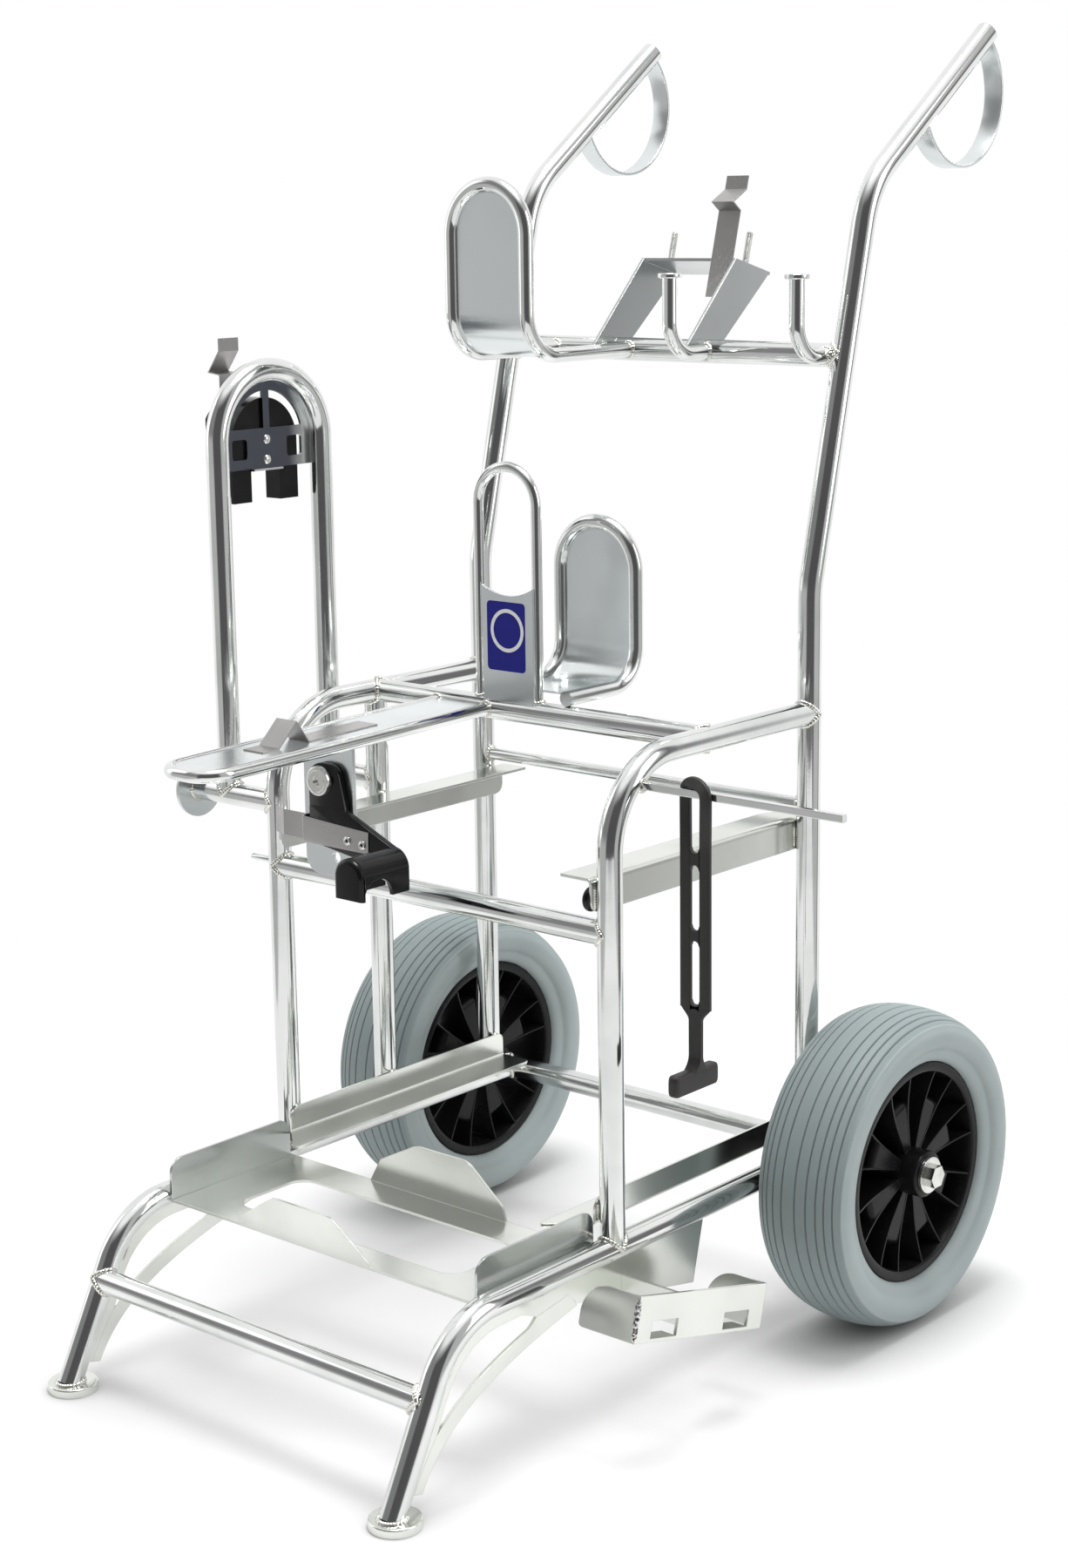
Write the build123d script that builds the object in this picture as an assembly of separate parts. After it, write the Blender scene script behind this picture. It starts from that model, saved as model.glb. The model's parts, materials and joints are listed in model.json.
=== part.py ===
from build123d import *
from math import cos, degrees, radians, sin, tan
import os

# Sizes are in millimetres. In the work frame the floor is z = 0, the middle between
# the side tubes is x = 0 and the front posts stand at y = 0. The parts leave in the
# row frame, whose origin is the middle of the bounding box, on the floor.
ORIGIN = (40.0, 141.25, 0.0)

# Main frame of round tube
HALF_W = 200.0
TUBE_R = 11.0
BORE_R = 9.5
SEAT = 2.0
RAIL_Z = 150.0
AXLE_Y = 319.0
AXLE_END = 215.0
LEG_Y = -205.5
LEG_LEAN = 27.2
LEG_BEND = 80.0
FOOT_R = 22.5
FOOT_H = 8.0
FOOT_Y = -275.5
FOOT_BAR = (-238.0, 92.0)
TOP_Z = 576.0
POST_BEND = 80.0
REAR_Y = 286.0
KINK = (286.0, 690.0)
CORNER = (371.0, 1041.0)
GRIP_END = (563.0, 1180.5)
HANDLE_BENDS = [100.0, 90.0]
TOP_BAR = (135.0, 576.0)
MID_BAR = (0.0, 430.0)
REAR_ROD = (286.0, 490.0)
REAR_ROD_R = 6.0
UPPER_BAR = (335.4, 894.0)
MID_POST_Y = 132.5

# Handle ends
GUARD_C = (512.5, 1125.5)
GUARD_R = 68.0
GUARD_T = 3.0
GUARD_W = 20.0
PLUG_H = 5.0
PLUG_DOME = 14.6

# Sheet carriers
SHEET = 2.5
INNER = HALF_W - TUBE_R
SHELF_Y = (-11.0, 298.0)
SHELF_Z = (448.0, 478.0)
SHELF_IN = 155.0
SHELF_ROUND = 30.0
CRADLE_Y = (-9.0, 292.0)
CRADLE_Z = (169.5, 195.0)
CRADLE_IN = 150.0
CRADLE_TIP = 34.0
TRAY_Y = (-162.0, -10.0)
TRAY_WALL_END = -13.0
TRAY_Z = (146.0, 186.0)
TRAY_GAP = (135.0, -132.0, -47.0)
TRAY_ROUND = 18.0
PLATE_T = 3.0

# Lifting eye
EYE_X = (-64.0, 6.0)
EYE_TOP = 799.0
EYE_R = 4.8
EYE_PLATE_X = (-54.5, 7.0)
EYE_PLATE_TOP = 691.0
EYE_PLATE_SAG = 8.4

# Cable rests: middle x, upright y, level z, top z and half width
REST_R = 7.0
REST_SHEET = 2.0
REAR_REST = (-3.0, 232.0, 594.0, 742.0, 45.0)
REAR_REST_BEND = 35.0
UPPER_REST = (-86.5, 180.0, 894.0, 1049.0, 45.5)
UPPER_REST_BEND = 40.0

# Tongue that reaches forward from the top cross tube
TONGUE_X = (-112.0, -50.0)
TONGUE_R = 6.0
TONGUE_FRONT = -219.0
TONGUE_CORNER = 24.0
TONGUE_DROP = 1.28
TONGUE_LEVEL = TOP_Z + 3.5
CLIP_W = 25.0
SPRING_T = 1.0
SPRING_RISE = 20.0

# Swinging hook under the tongue
BRACKET_Y = (-51.0, -47.0)
PIVOT = (-81.5, 535.5)
SHANK_R = 5.0
PIVOT_R = 6.0
HEAD_R = 13.5
HEAD_T = 6.0
SOCKET_R = 4.0
SOCKET_DEEP = 3.0
BRACKET_HOLE = (-73.0, 465.0)
BRACKET_HOLE_R = 5.0
RUN_GAP = 0.05
SIDE_GAP = 0.3
ARM_T = 7.0
SADDLE_FRONT = -110.0
SADDLE_MID = 3.5
SADDLE_HALF = 16.5
SADDLE_TOP = 486.0
SADDLE_LOW = 450.0
SADDLE_ARCH = (-89.5, 17.0)
WALL = 4.0
RIB_DEEP = 8.0
LEAF_Z = (474.2, 499.2)
LEAF_BACK = -37.0

# Side hoop
HOOP_X = -265.0
HOOP_TOP = 883.0
STUB_Z = 489.0
FRONT_STUB_END = -308.0
REAR_STUB_END = -280.0
DISC_R = 28.0
DISC_T = 3.0
HOOP_MID = 66.25
HOOP_PLATE_X = (-272.0, -269.0)
BAND_Z = 810.0
BAND_H = 37.5
BAND_WINDOW = 19.0
BAND_WINDOW_Y = (31.5, 101.5)
BLOCK_X = -292.0
BLOCK_R = 41.5
BLOCK_LOW = 760.0
BLOCK_GAP = (37.0, 50.0, 8.0)
PIPE_R = 39.5
PIPE_WALL = 5.5
PIPE_END = -317.0
PIPE_Z = 815.5
PIPE_CUT = -10.0
PIPE_SPAN = 66.0
LINING_R = (47.0, 60.0)
CLIP_T = 1.2
CLIP_TIP = -334.0

# Bracket, studs and hooks on the upper cross tube
CHEEK_X = (-61.5, 51.5)
CHEEK_FOOT = (293.0, 345.0, 896.0)
BRIDGE_FRONT = (373.0, 978.4)
BRIDGE_DEEP = 55.4
TILT = 15.0
STUD_X = (-50.0, 40.0)
STUD_R = 3.0
STUD_LEN = 28.0
STUD_BACK = 30.0
UPPER_CLIP_X = 23.2
HOOK_X = (51.0, 187.0)
HOOK_R = 7.0
HOOK_Y = (273.0, 281.0)
HOOK_TOP = 963.0
HOOK_BEND = 30.0
CAP_R = 11.0
CAP_H = 4.5

# Strap bar, strap and low holder on the right side
BAR_A = 6.5
BAR_YZ = (32.0, 554.0)
BAR_END = 414.0
STRAP_X = 266.0
STRAP_W = 31.0
STRAP_T = 4.5
SLOT_W = 9.5
SLOT_TOPS = (493.5, 428.5)
SLOT_LEN = 56.0
SPLIT_Z = 508.75
SHOULDER_Z = 374.0
NECK_Z = (314.0, 362.0)
NECK_HALF = 6.5
WEAVE = 6.4
SPREAD = 5.2
EYE_BORE = 4.8
GRIP_C = (28.4, 308.5)
GRIP_SIZE = (60.0, 19.0, 4.0)
GRIP_HALF = 5.5
HOLDER_X = 288.5
HOLDER_C = (7.5, 112.0)
HOLDER_TILT = -14.5
HOLDER_LEN = 180.0
HOLDER_H = 40.0
WING = 57.0
NOTCH_U = (-51.0, 51.0)
NOTCH = (36.0, 18.0)
NOTCH_TAB = 16.5
WEB_Y = (9.5, 12.5)
WEB_Z = (92.0, 122.0)

# Wheels
WHEEL_X = 268.0
TYRE_R = 150.0
TYRE_HALF = 48.0
RIM_R = 104.0
RIM_HALF = 34.0
HUB_R = 22.0
HUB_END = 46.0
NECK_R = 16.0
AXLE_R = 8.0
SPOKES = 10
SPOKE_HALF = 25.0
PADDLE_T = 7.0
RIM_LIP = 8.0
RIM_WALL = 11.0
SPOKE_RIB = 2.5
TREAD_EDGE = (43.0, 147.0)
SIDE_LOW = (45.0, 112.0)
WASHER_R = 17.0
WASHER_T = 3.0
NUT_HALF = 9.5
NUT_H = 8.0

NAMES = {-1: "left", 1: "right"}
nodes = {}


def outline(points, radii=0.0):
    """Face inside a closed outline with rounded corners."""
    return make_face(FilletPolyline(*points, radius=radii, close=True))


def slab_x(face, low, high):
    """Extrude a face drawn in (y, z) between two x positions."""
    return extrude(Plane.YZ.offset(low) * face, amount=high - low)


def slab_y(face, low, high):
    """Extrude a face drawn in (x, z) between two y positions."""
    return extrude(Plane.XZ.offset(-high) * face, amount=high - low)


def slab_z(face, low, high):
    """Extrude a face drawn in (x, y) between two z positions."""
    return extrude(Plane.XY.offset(low) * face, amount=high - low)


def follow(points, bends, section, across=None):
    """Carry a section along straight runs joined by round bends."""
    path = FilletPolyline(*points, radius=bends) if bends else Line(*points)
    body = Part()
    for edge in path.edges():
        face = Plane(origin=edge @ 0, x_dir=across, z_dir=edge % 0) * section
        if edge.geom_type == GeomType.LINE:
            body += extrude(face, amount=edge.length)
        else:
            turn = (edge @ 0 - edge.arc_center).cross(edge % 0)
            body += revolve(face, Axis(edge.arc_center, turn), degrees(edge.length / edge.radius))
    return body


def bar(points, radius, bends=None):
    """Round bar along a bent path."""
    return follow(points, bends, Circle(radius))


def tube(points, bends=None):
    """Frame tube along a bent path."""
    return follow(points, bends, Circle(TUBE_R) - Circle(BORE_R))


def across_frame(spot, half=HALF_W - SEAT):
    """Ends of a straight member that lies across the frame at a (y, z) spot."""
    return [(-half, *spot), (half, *spot)]


def strip(points, thickness):
    """Face of a bent strip around its middle line, with mitred corners."""
    left = []
    right = []
    for i, point in enumerate(points):
        here = Vector(*point)
        ahead = Vector(*points[i + 1]) - here if i + 1 < len(points) else None
        behind = here - Vector(*points[i - 1]) if i else ahead
        first = behind.normalized()
        mean = (first + (ahead or behind).normalized()).normalized()
        reach = thickness / 2 / first.dot(mean)
        left.append((here.X - mean.Y * reach, here.Y + mean.X * reach))
        right.append((here.X + mean.Y * reach, here.Y - mean.X * reach))
    return make_face(Polyline(*left, *reversed(right), close=True))


def leg_y(z):
    """Place of the leg's centre line at a height."""
    return LEG_Y - (RAIL_Z - z) * tan(radians(LEG_LEAN))


def rail_path(x):
    """Centre line of a bottom side rail with its front leg."""
    return [(x, leg_y(-20), -20), (x, LEG_Y, RAIL_Z), (x, AXLE_Y - SEAT, RAIL_Z)]


def post_path(x):
    """Centre line of a front post with its top rail."""
    return [(x, 0, RAIL_Z + SEAT), (x, 0, TOP_Z), (x, REAR_Y - SEAT, TOP_Z)]


def handle_path(x):
    """Centre line of a rear post with its handle."""
    return [(x, REAR_Y, RAIL_Z + SEAT), (x, *KINK), (x, *CORNER), (x, *GRIP_END)]


# Round members of the main frame, each cut to sit on its neighbour
axle_core = bar(across_frame((AXLE_Y, RAIL_Z), AXLE_END), TUBE_R)
rail_core = {s: bar(rail_path(s * HALF_W), TUBE_R, [LEG_BEND]) for s in NAMES}
post_core = {s: bar(post_path(s * HALF_W), TUBE_R, [POST_BEND]) for s in NAMES}
handle_core = {s: bar(handle_path(s * HALF_W), TUBE_R, HANDLE_BENDS) for s in NAMES}
top_core = bar(across_frame(TOP_BAR), TUBE_R)
upper_core = bar(across_frame(UPPER_BAR), TUBE_R)
mid_core = bar([(-HALF_W, MID_POST_Y, RAIL_Z), (-HALF_W, MID_POST_Y, TOP_Z)], TUBE_R)
under_leg = Pos(0, FOOT_Y, FOOT_H - 50) * Box(3 * HALF_W, 200, 100)
for s, name in NAMES.items():
    x = s * HALF_W
    nodes[f"{name}_side_rail"] = tube(rail_path(x), [LEG_BEND]) - axle_core - under_leg
    nodes[f"{name}_front_post"] = tube(post_path(x), [POST_BEND]) - rail_core[s] - handle_core[s]
    nodes[f"{name}_handle_tube"] = tube(handle_path(x), HANDLE_BENDS) - rail_core[s]

foot = Cylinder(FOOT_R, FOOT_H)
foot = fillet(foot.edges().sort_by(Axis.Z)[-1], 1.5)
feet = [Pos(s * HALF_W, FOOT_Y, FOOT_H / 2) * foot for s in NAMES]
nodes["foot_discs"] = Compound(children=feet)

foot_bar = tube(across_frame(FOOT_BAR))
top_bar = tube(across_frame(TOP_BAR))
mid_bar = tube(across_frame(MID_BAR))
upper_bar = tube(across_frame(UPPER_BAR))
rear_rod = bar(across_frame(REAR_ROD), REAR_ROD_R)
for s in NAMES:
    foot_bar -= rail_core[s]
    top_bar -= post_core[s]
    mid_bar -= post_core[s]
    upper_bar -= handle_core[s]
    rear_rod -= handle_core[s]
nodes["front_foot_bar"] = foot_bar
nodes["top_cross_tube"] = top_bar
nodes["mid_cross_tube"] = mid_bar
nodes["upper_cross_tube"] = upper_bar
nodes["rear_cross_rod"] = rear_rod
axle_ring = Circle(TUBE_R) - Circle(AXLE_R)
nodes["axle_tube"] = follow(across_frame((AXLE_Y, RAIL_Z), AXLE_END), None, axle_ring)
mid_post = tube([(-HALF_W, MID_POST_Y, RAIL_Z + SEAT), (-HALF_W, MID_POST_Y, TOP_Z - SEAT)])
nodes["left_mid_post"] = mid_post - rail_core[-1] - post_core[-1] - top_core

# Curved gusset behind each leg, with its crescent window
gusset_low = [(-254, 18), (-227, 59), (-184, 83), (-119, 97), (-63, 113), (-49, 115)]
gusset_high = [(-49, 115), (-73, 138), (-73, RAIL_Z), (LEG_Y + 15, RAIL_Z), (-268, 18), (-254, 18)]
window_low = Spline((-217, 68), (-184, 85), (-162, 100), (-109, 120))
window_high = Spline((-109, 120), (-149, 127), (-186, 121), (-203, 105), (-212, 87), (-217, 68))
gusset_face = make_face(Spline(*gusset_low) + Polyline(*gusset_high))
gusset_face -= make_face(window_low + window_high)
for s, name in NAMES.items():
    x = s * HALF_W
    gusset = slab_x(gusset_face, x - PLATE_T / 2, x + PLATE_T / 2)
    nodes[f"{name}_leg_gusset"] = gusset - rail_core[s]

# Handle ends: round guard strip and domed plug
grip_dir = Vector(0, GRIP_END[0] - CORNER[0], GRIP_END[1] - CORNER[1]).normalized()
grip_side = Plane((0, *GRIP_END), x_dir=(1, 0, 0), z_dir=(0, -grip_dir.Z, grip_dir.Y))
above_grip = grip_side * Pos(0, 0, GUARD_R) * Box(3 * HALF_W, 8 * GUARD_R, 2 * GUARD_R)
guard_face = Pos(*GUARD_C) * (Circle(GUARD_R) - Circle(GUARD_R - GUARD_T))
dome_arc = RadiusArc((TUBE_R, 0), (0, PLUG_H), -PLUG_DOME)
dome_face = make_face(Polyline((0, PLUG_H), (0, 0), (TUBE_R, 0)) + dome_arc)
dome = revolve(Plane.XZ * dome_face, Axis.Z)
plugs = []
for s, name in NAMES.items():
    x = s * HALF_W
    ring = slab_x(guard_face, x - GUARD_W / 2, x + GUARD_W / 2)
    nodes[f"{name}_hand_guard"] = ring - above_grip - handle_core[s]
    plugs.append(Plane((x, *GRIP_END), x_dir=(1, 0, 0), z_dir=grip_dir) * dome)
nodes["handle_plugs"] = Compound(children=plugs)


def angle_rail(plan, plan_rounds, flange_low, y_ends, z_ends, web_rounds):
    """Bent angle on the inner side of the right posts: level flange and upright web."""
    rail = slab_z(outline(plan, plan_rounds), flange_low, flange_low + SHEET)
    (front, back), (low, high) = y_ends, z_ends
    web = [(front, low), (back, low), (back, high), (front, high)]
    return rail + slab_x(outline(web, web_rounds), INNER - SHEET, INNER)


# Angle rails of the two levels; the left shelf rail is the right one turned round
shelf_plan = [(INNER, SHELF_Y[0]), (SHELF_IN, SHELF_Y[0]), (SHELF_IN, SHELF_Y[1]), (INNER, SHELF_Y[1])]
shelf_rounds = [0, 0, SHELF_ROUND, 0]
shelf = angle_rail(shelf_plan, shelf_rounds, SHELF_Z[1] - SHEET, SHELF_Y, SHELF_Z, [10, 10, 0, 0])
cradle_plan = [
    (INNER, CRADLE_Y[0]),
    (CRADLE_IN, CRADLE_Y[0] - CRADLE_TIP),
    (CRADLE_IN, CRADLE_Y[1]),
    (INNER, CRADLE_Y[1]),
]
cradle = angle_rail(cradle_plan, [0, 6, 6, 0], CRADLE_Z[0], CRADLE_Y, CRADLE_Z, [0, 0, 8, 12])
nodes["right_shelf_rail"] = shelf
nodes["left_shelf_rail"] = Pos(0, sum(SHELF_Y), 0) * Rot(0, 0, 180) * shelf
nodes["right_cradle_rail"] = cradle
nodes["left_cradle_rail"] = mirror(cradle, Plane.YZ)

# Front tray: open floor frame, side walls and two upright guide tabs
tray_low = TRAY_Z[0]
tray_floor = [(-INNER, TRAY_Y[0]), (INNER, TRAY_Y[0]), (INNER, TRAY_Y[1]), (-INNER, TRAY_Y[1])]
gap_x, gap_front, gap_back = TRAY_GAP
tray_gap = [(-gap_x, gap_front), (gap_x, gap_front), (gap_x, gap_back), (-gap_x, gap_back)]
tray = slab_z(outline(tray_floor) - outline(tray_gap, TRAY_ROUND), tray_low, tray_low + SHEET)
tray_wall = [(TRAY_Y[0], tray_low), (TRAY_WALL_END, tray_low)]
tray_wall += [(TRAY_WALL_END, TRAY_Z[1]), (TRAY_Y[0], TRAY_Z[1])]
wall_face = outline(tray_wall, [0, 0, 14, 14])
tray += slab_x(wall_face, INNER - SHEET, INNER)
tray += slab_x(wall_face, -INNER, SHEET - INNER)
front_tab = [(-99, tray_low), (69, tray_low), (64, 151), (18, 182), (-54, 182), (-98, 154)]
rear_tab = [(-82, tray_low), (88, tray_low), (83, 162), (42, 195), (-22, 195), (-67, 172)]
tray += slab_y(outline(front_tab, [0, 0, 6, 18, 18, 6]), TRAY_Y[0], TRAY_Y[0] + SHEET)
tray += slab_y(outline(rear_tab, [0, 0, 8, 20, 20, 8]), TRAY_Y[1] - SHEET, TRAY_Y[1])
nodes["front_tray"] = tray

# Lifting eye on the top cross tube
eye_y, eye_low = TOP_BAR[0], TOP_BAR[1] + 6
eye_half = (EYE_X[1] - EYE_X[0]) / 2
eye_path = [(EYE_X[0], eye_y, eye_low), (EYE_X[0], eye_y, EYE_TOP)]
eye_path += [(EYE_X[1], eye_y, EYE_TOP), (EYE_X[1], eye_y, eye_low)]
nodes["lifting_loop"] = bar(eye_path, EYE_R, [eye_half - 0.1] * 2) - top_core
plate_left, plate_right = EYE_PLATE_X
plate_sides = [(plate_left, EYE_PLATE_TOP), (plate_left, eye_low)]
plate_sides += [(plate_right, eye_low), (plate_right, EYE_PLATE_TOP)]
plate_top = SagittaArc(plate_sides[-1], plate_sides[0], EYE_PLATE_SAG)
plate_face = make_face(Polyline(*plate_sides) + plate_top)
plate_back = eye_y - EYE_R
nodes["lifting_plate"] = slab_y(plate_face, plate_back - PLATE_T, plate_back) - top_core


def cable_rest(place, bend, root, sheet_root, core):
    """Bent tube loop and the sheet between its legs, both cut to their cross tube."""
    mid, y, z, top, half = place
    left, right = mid - half, mid + half
    path = [(left, root, z), (left, y, z), (left, y, top), (right, y, top), (right, y, z), (right, root, z)]
    loop = bar(path, REST_R, [bend, half - 0.1, half - 0.1, bend])
    width = 2 * half - 1.6 * REST_R
    side = [(mid, sheet_root, z), (mid, y, z), (mid, y, top)]
    sheet = follow(side, [bend], Rectangle(width, REST_SHEET), (1, 0, 0))
    arch = Circle(half) + Pos(0, -200) * Rectangle(2 * half, 400)
    sheet &= slab_y(Pos(mid, top - half) * arch, min(y, root) - 20, max(y, root) + 20)
    return loop - core, sheet - core - loop


nodes["rear_rest_tube"], nodes["rear_rest_sheet"] = cable_rest(
    REAR_REST, REAR_REST_BEND, TOP_BAR[0] - 4, 150, top_core
)
nodes["upper_rest_tube"], nodes["upper_rest_sheet"] = cable_rest(
    UPPER_REST, UPPER_REST_BEND, UPPER_BAR[0] - SEAT, 300, upper_core
)

# Tongue, drawn level and then dropped a little about the top cross tube
lower = Pos(0, *TOP_BAR) * Rot(TONGUE_DROP, 0, 0) * Pos(0, -TOP_BAR[0], -TOP_BAR[1])
tongue_root = TOP_BAR[0] - SEAT
tongue_path = [(TONGUE_X[0], tongue_root, TOP_Z), (TONGUE_X[0], TONGUE_FRONT, TOP_Z)]
tongue_path += [(TONGUE_X[1], TONGUE_FRONT, TOP_Z), (TONGUE_X[1], tongue_root, TOP_Z)]
tongue_core = lower * bar(tongue_path, TONGUE_R, [TONGUE_CORNER] * 2)
tongue_mid = sum(TONGUE_X) / 2
tongue_plan = [(TONGUE_X[0], tongue_root), (TONGUE_X[0], TONGUE_FRONT)]
tongue_plan += [(TONGUE_X[1], TONGUE_FRONT), (TONGUE_X[1], tongue_root)]
tongue_face = outline(tongue_plan, [0, TONGUE_CORNER, TONGUE_CORNER, 0])
tongue_top = TONGUE_LEVEL + REST_SHEET / 2
tongue_sheet = lower * slab_z(tongue_face, tongue_top - REST_SHEET, tongue_top)
nodes["tongue_tube"] = tongue_core - top_core
nodes["tongue_sheet"] = tongue_sheet - tongue_core - top_core
spring_low = tongue_top + SPRING_T / 2
spring_side = [(-139, 0), (-120, 0), (-98, SPRING_RISE), (-84, 0), (1, 0)]
spring_face = Pos(0, spring_low) * strip(spring_side, SPRING_T)
nodes["tongue_spring"] = lower * slab_x(spring_face, tongue_mid - CLIP_W / 2, tongue_mid + CLIP_W / 2)

# Hook bracket below the tongue with its pivot bolt
bracket_face = outline([(-111, 447), (-50, 447), (-50, TOP_Z), (-111, TOP_Z)], [16, 16, 0, 0])
bracket_face -= Pos(*BRACKET_HOLE) * Circle(BRACKET_HOLE_R) + Pos(*PIVOT) * Circle(SHANK_R)
over_tongue = lower * Pos(tongue_mid, 0, TONGUE_LEVEL + 50) * Box(100, 400, 100)
nodes["hook_bracket"] = slab_y(bracket_face, *BRACKET_Y) - tongue_core - tongue_sheet - over_tongue
arm_back = BRACKET_Y[0] - SIDE_GAP
arm_front = arm_back - ARM_T
head_back = arm_front - SIDE_GAP
pivot_bolt = slab_y(Circle(SHANK_R), BRACKET_Y[0], BRACKET_Y[1])
pivot_bolt += slab_y(Circle(PIVOT_R), head_back, BRACKET_Y[0])
head_front = head_back - HEAD_T
pivot_bolt += slab_y(Circle(HEAD_R), head_front, head_back)
pivot_bolt -= slab_y(RegularPolygon(SOCKET_R, 6), head_front, head_front + SOCKET_DEEP)
nodes["hook_pivot_bolt"] = Pos(PIVOT[0], 0, PIVOT[1]) * pivot_bolt

# Hook: flat arm with a stiffening rib, an arched cable saddle and a closed front
arm = [(-98.5, 478), (-98.5, 551), (-63, 551), (-54, 509), (9, 482), (SADDLE_MID, 466), (-15, 466)]
arm_face = outline(arm, [8, 16, 14, 12, 4, 0, 0]) - Pos(*PIVOT) * Circle(PIVOT_R + RUN_GAP)
saddle_axis = SADDLE_TOP - SADDLE_HALF
saddle_drop = saddle_axis - SADDLE_LOW
saddle_face = Circle(SADDLE_HALF)
saddle_face += Pos(0, -saddle_drop / 2) * Rectangle(2 * SADDLE_HALF, saddle_drop)
saddle_face -= Pos(0, -saddle_drop - SADDLE_HALF) * Rectangle(2 * SADDLE_HALF, 2 * SADDLE_HALF)
bore = SADDLE_HALF - WALL
bore_face = Circle(bore) + Pos(0, -25) * Rectangle(2 * bore, 50)
saddle_spot = Pos(SADDLE_MID, saddle_axis)
hook = slab_y(arm_face, arm_front, arm_back)
hook += slab_y(strip([(-59, 524), (-54, 509), (9, 482)], WALL), arm_front - RIB_DEEP, arm_front)
hook += slab_y(saddle_spot * (saddle_face - bore_face), SADDLE_FRONT + WALL, arm_back)
hook += slab_y(saddle_spot * saddle_face, SADDLE_FRONT, SADDLE_FRONT + WALL)
arch = Pos(SADDLE_ARCH[0], SADDLE_LOW) * Circle(SADDLE_ARCH[1])
hook -= slab_x(arch, SADDLE_MID, SADDLE_MID + 2 * SADDLE_HALF)
nodes["swing_hook"] = hook
leaf_y = arm_front - SPRING_T / 2
leaf_line = [(-24.5, leaf_y), (-107, leaf_y), (-126, LEAF_BACK), (-161, LEAF_BACK), (-168, LEAF_BACK + 4)]
nodes["hook_leaf_spring"] = slab_z(strip(leaf_line, SPRING_T), *LEAF_Z) - hook

# Side hoop on two stubs, with its end disc, plate, cable saddle and clip
front_stub = bar([(-HALF_W - SEAT, 0, STUB_Z), (FRONT_STUB_END, 0, STUB_Z)], TUBE_R)
rear_stub = bar([(-HALF_W - SEAT, MID_POST_Y, STUB_Z), (REAR_STUB_END, MID_POST_Y, STUB_Z)], TUBE_R)
hoop_path = [(HOOP_X, 0, STUB_Z + SEAT), (HOOP_X, 0, HOOP_TOP)]
hoop_path += [(HOOP_X, MID_POST_Y, HOOP_TOP), (HOOP_X, MID_POST_Y, STUB_Z + SEAT)]
hoop_bends = [HOOP_MID - 0.1] * 2
hoop_core = bar(hoop_path, TUBE_R, hoop_bends)
nodes["front_stub"] = front_stub - post_core[-1]
nodes["rear_stub"] = rear_stub - mid_core
nodes["hoop_tube"] = tube(hoop_path, hoop_bends) - front_stub - rear_stub
nodes["stub_disc"] = slab_x(Pos(0, STUB_Z) * Circle(DISC_R), FRONT_STUB_END - DISC_T, FRONT_STUB_END)
band_face = Pos(HOOP_MID, BAND_Z) * Rectangle(MID_POST_Y, BAND_H)
band_face += make_face(
    Polyline((62.5, 820), (70.5, 820), (70.5, 868), (82, 884), (51, 884), (62.5, 868), close=True)
)
lining = Circle(LINING_R[1]) - Circle(LINING_R[0])
lining &= Pos(0, LINING_R[1] / 2) * Rectangle(2 * LINING_R[1], LINING_R[1])
band_face += Pos(HOOP_MID, HOOP_TOP - HOOP_MID) * lining
for window_y in BAND_WINDOW_Y:
    band_face -= Pos(window_y, BAND_Z) * RectangleRounded(BAND_WINDOW, BAND_WINDOW, 3)
nodes["hoop_plate"] = slab_x(band_face, *HOOP_PLATE_X) - hoop_core
block_drop = PIPE_Z - BLOCK_LOW
block_face = Circle(BLOCK_R) + Pos(0, -block_drop / 2) * Rectangle(2 * BLOCK_R, block_drop)
block_face -= Pos(0, 10 - block_drop) * RectangleRounded(*BLOCK_GAP)
above_pipe = Pos(0, PIPE_CUT + PIPE_R) * Rectangle(PIPE_SPAN, 2 * PIPE_R)
pipe_face = (Circle(PIPE_R) - Circle(PIPE_R - PIPE_WALL)) & above_pipe
wall_face = Circle(PIPE_R) & above_pipe
pipe_spot = Pos(HOOP_MID, PIPE_Z)
saddle = slab_x(pipe_spot * block_face, BLOCK_X, HOOP_PLATE_X[0])
saddle += slab_x(pipe_spot * pipe_face, PIPE_END, BLOCK_X)
saddle += slab_x(pipe_spot * wall_face, PIPE_END, PIPE_END + PLATE_T)
nodes["hoop_saddle"] = saddle - hoop_core
clip_x = PIPE_END - CLIP_T / 2
clip_side = [(clip_x, 825), (clip_x, 877), (CLIP_TIP + 1, 879), (clip_x, 899), (clip_x, 911)]
nodes["hoop_clip"] = slab_y(strip(clip_side, CLIP_T), HOOP_MID - CLIP_W / 2, HOOP_MID + CLIP_W / 2)

# Two upturned cable hooks with round caps
hooks = []
caps = []
for x, y in zip(HOOK_X, HOOK_Y):
    hook_path = [(x, UPPER_BAR[0] - SEAT, UPPER_BAR[1]), (x, y, UPPER_BAR[1]), (x, y, HOOK_TOP)]
    hooks.append(bar(hook_path, HOOK_R, [HOOK_BEND]) - upper_core - handle_core[1])
    caps.append(Pos(x, y, HOOK_TOP + CAP_H / 2) * Cylinder(CAP_R, CAP_H))
nodes["j_hooks"] = Compound(children=hooks)
nodes["j_hook_caps"] = Compound(children=caps)

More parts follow.
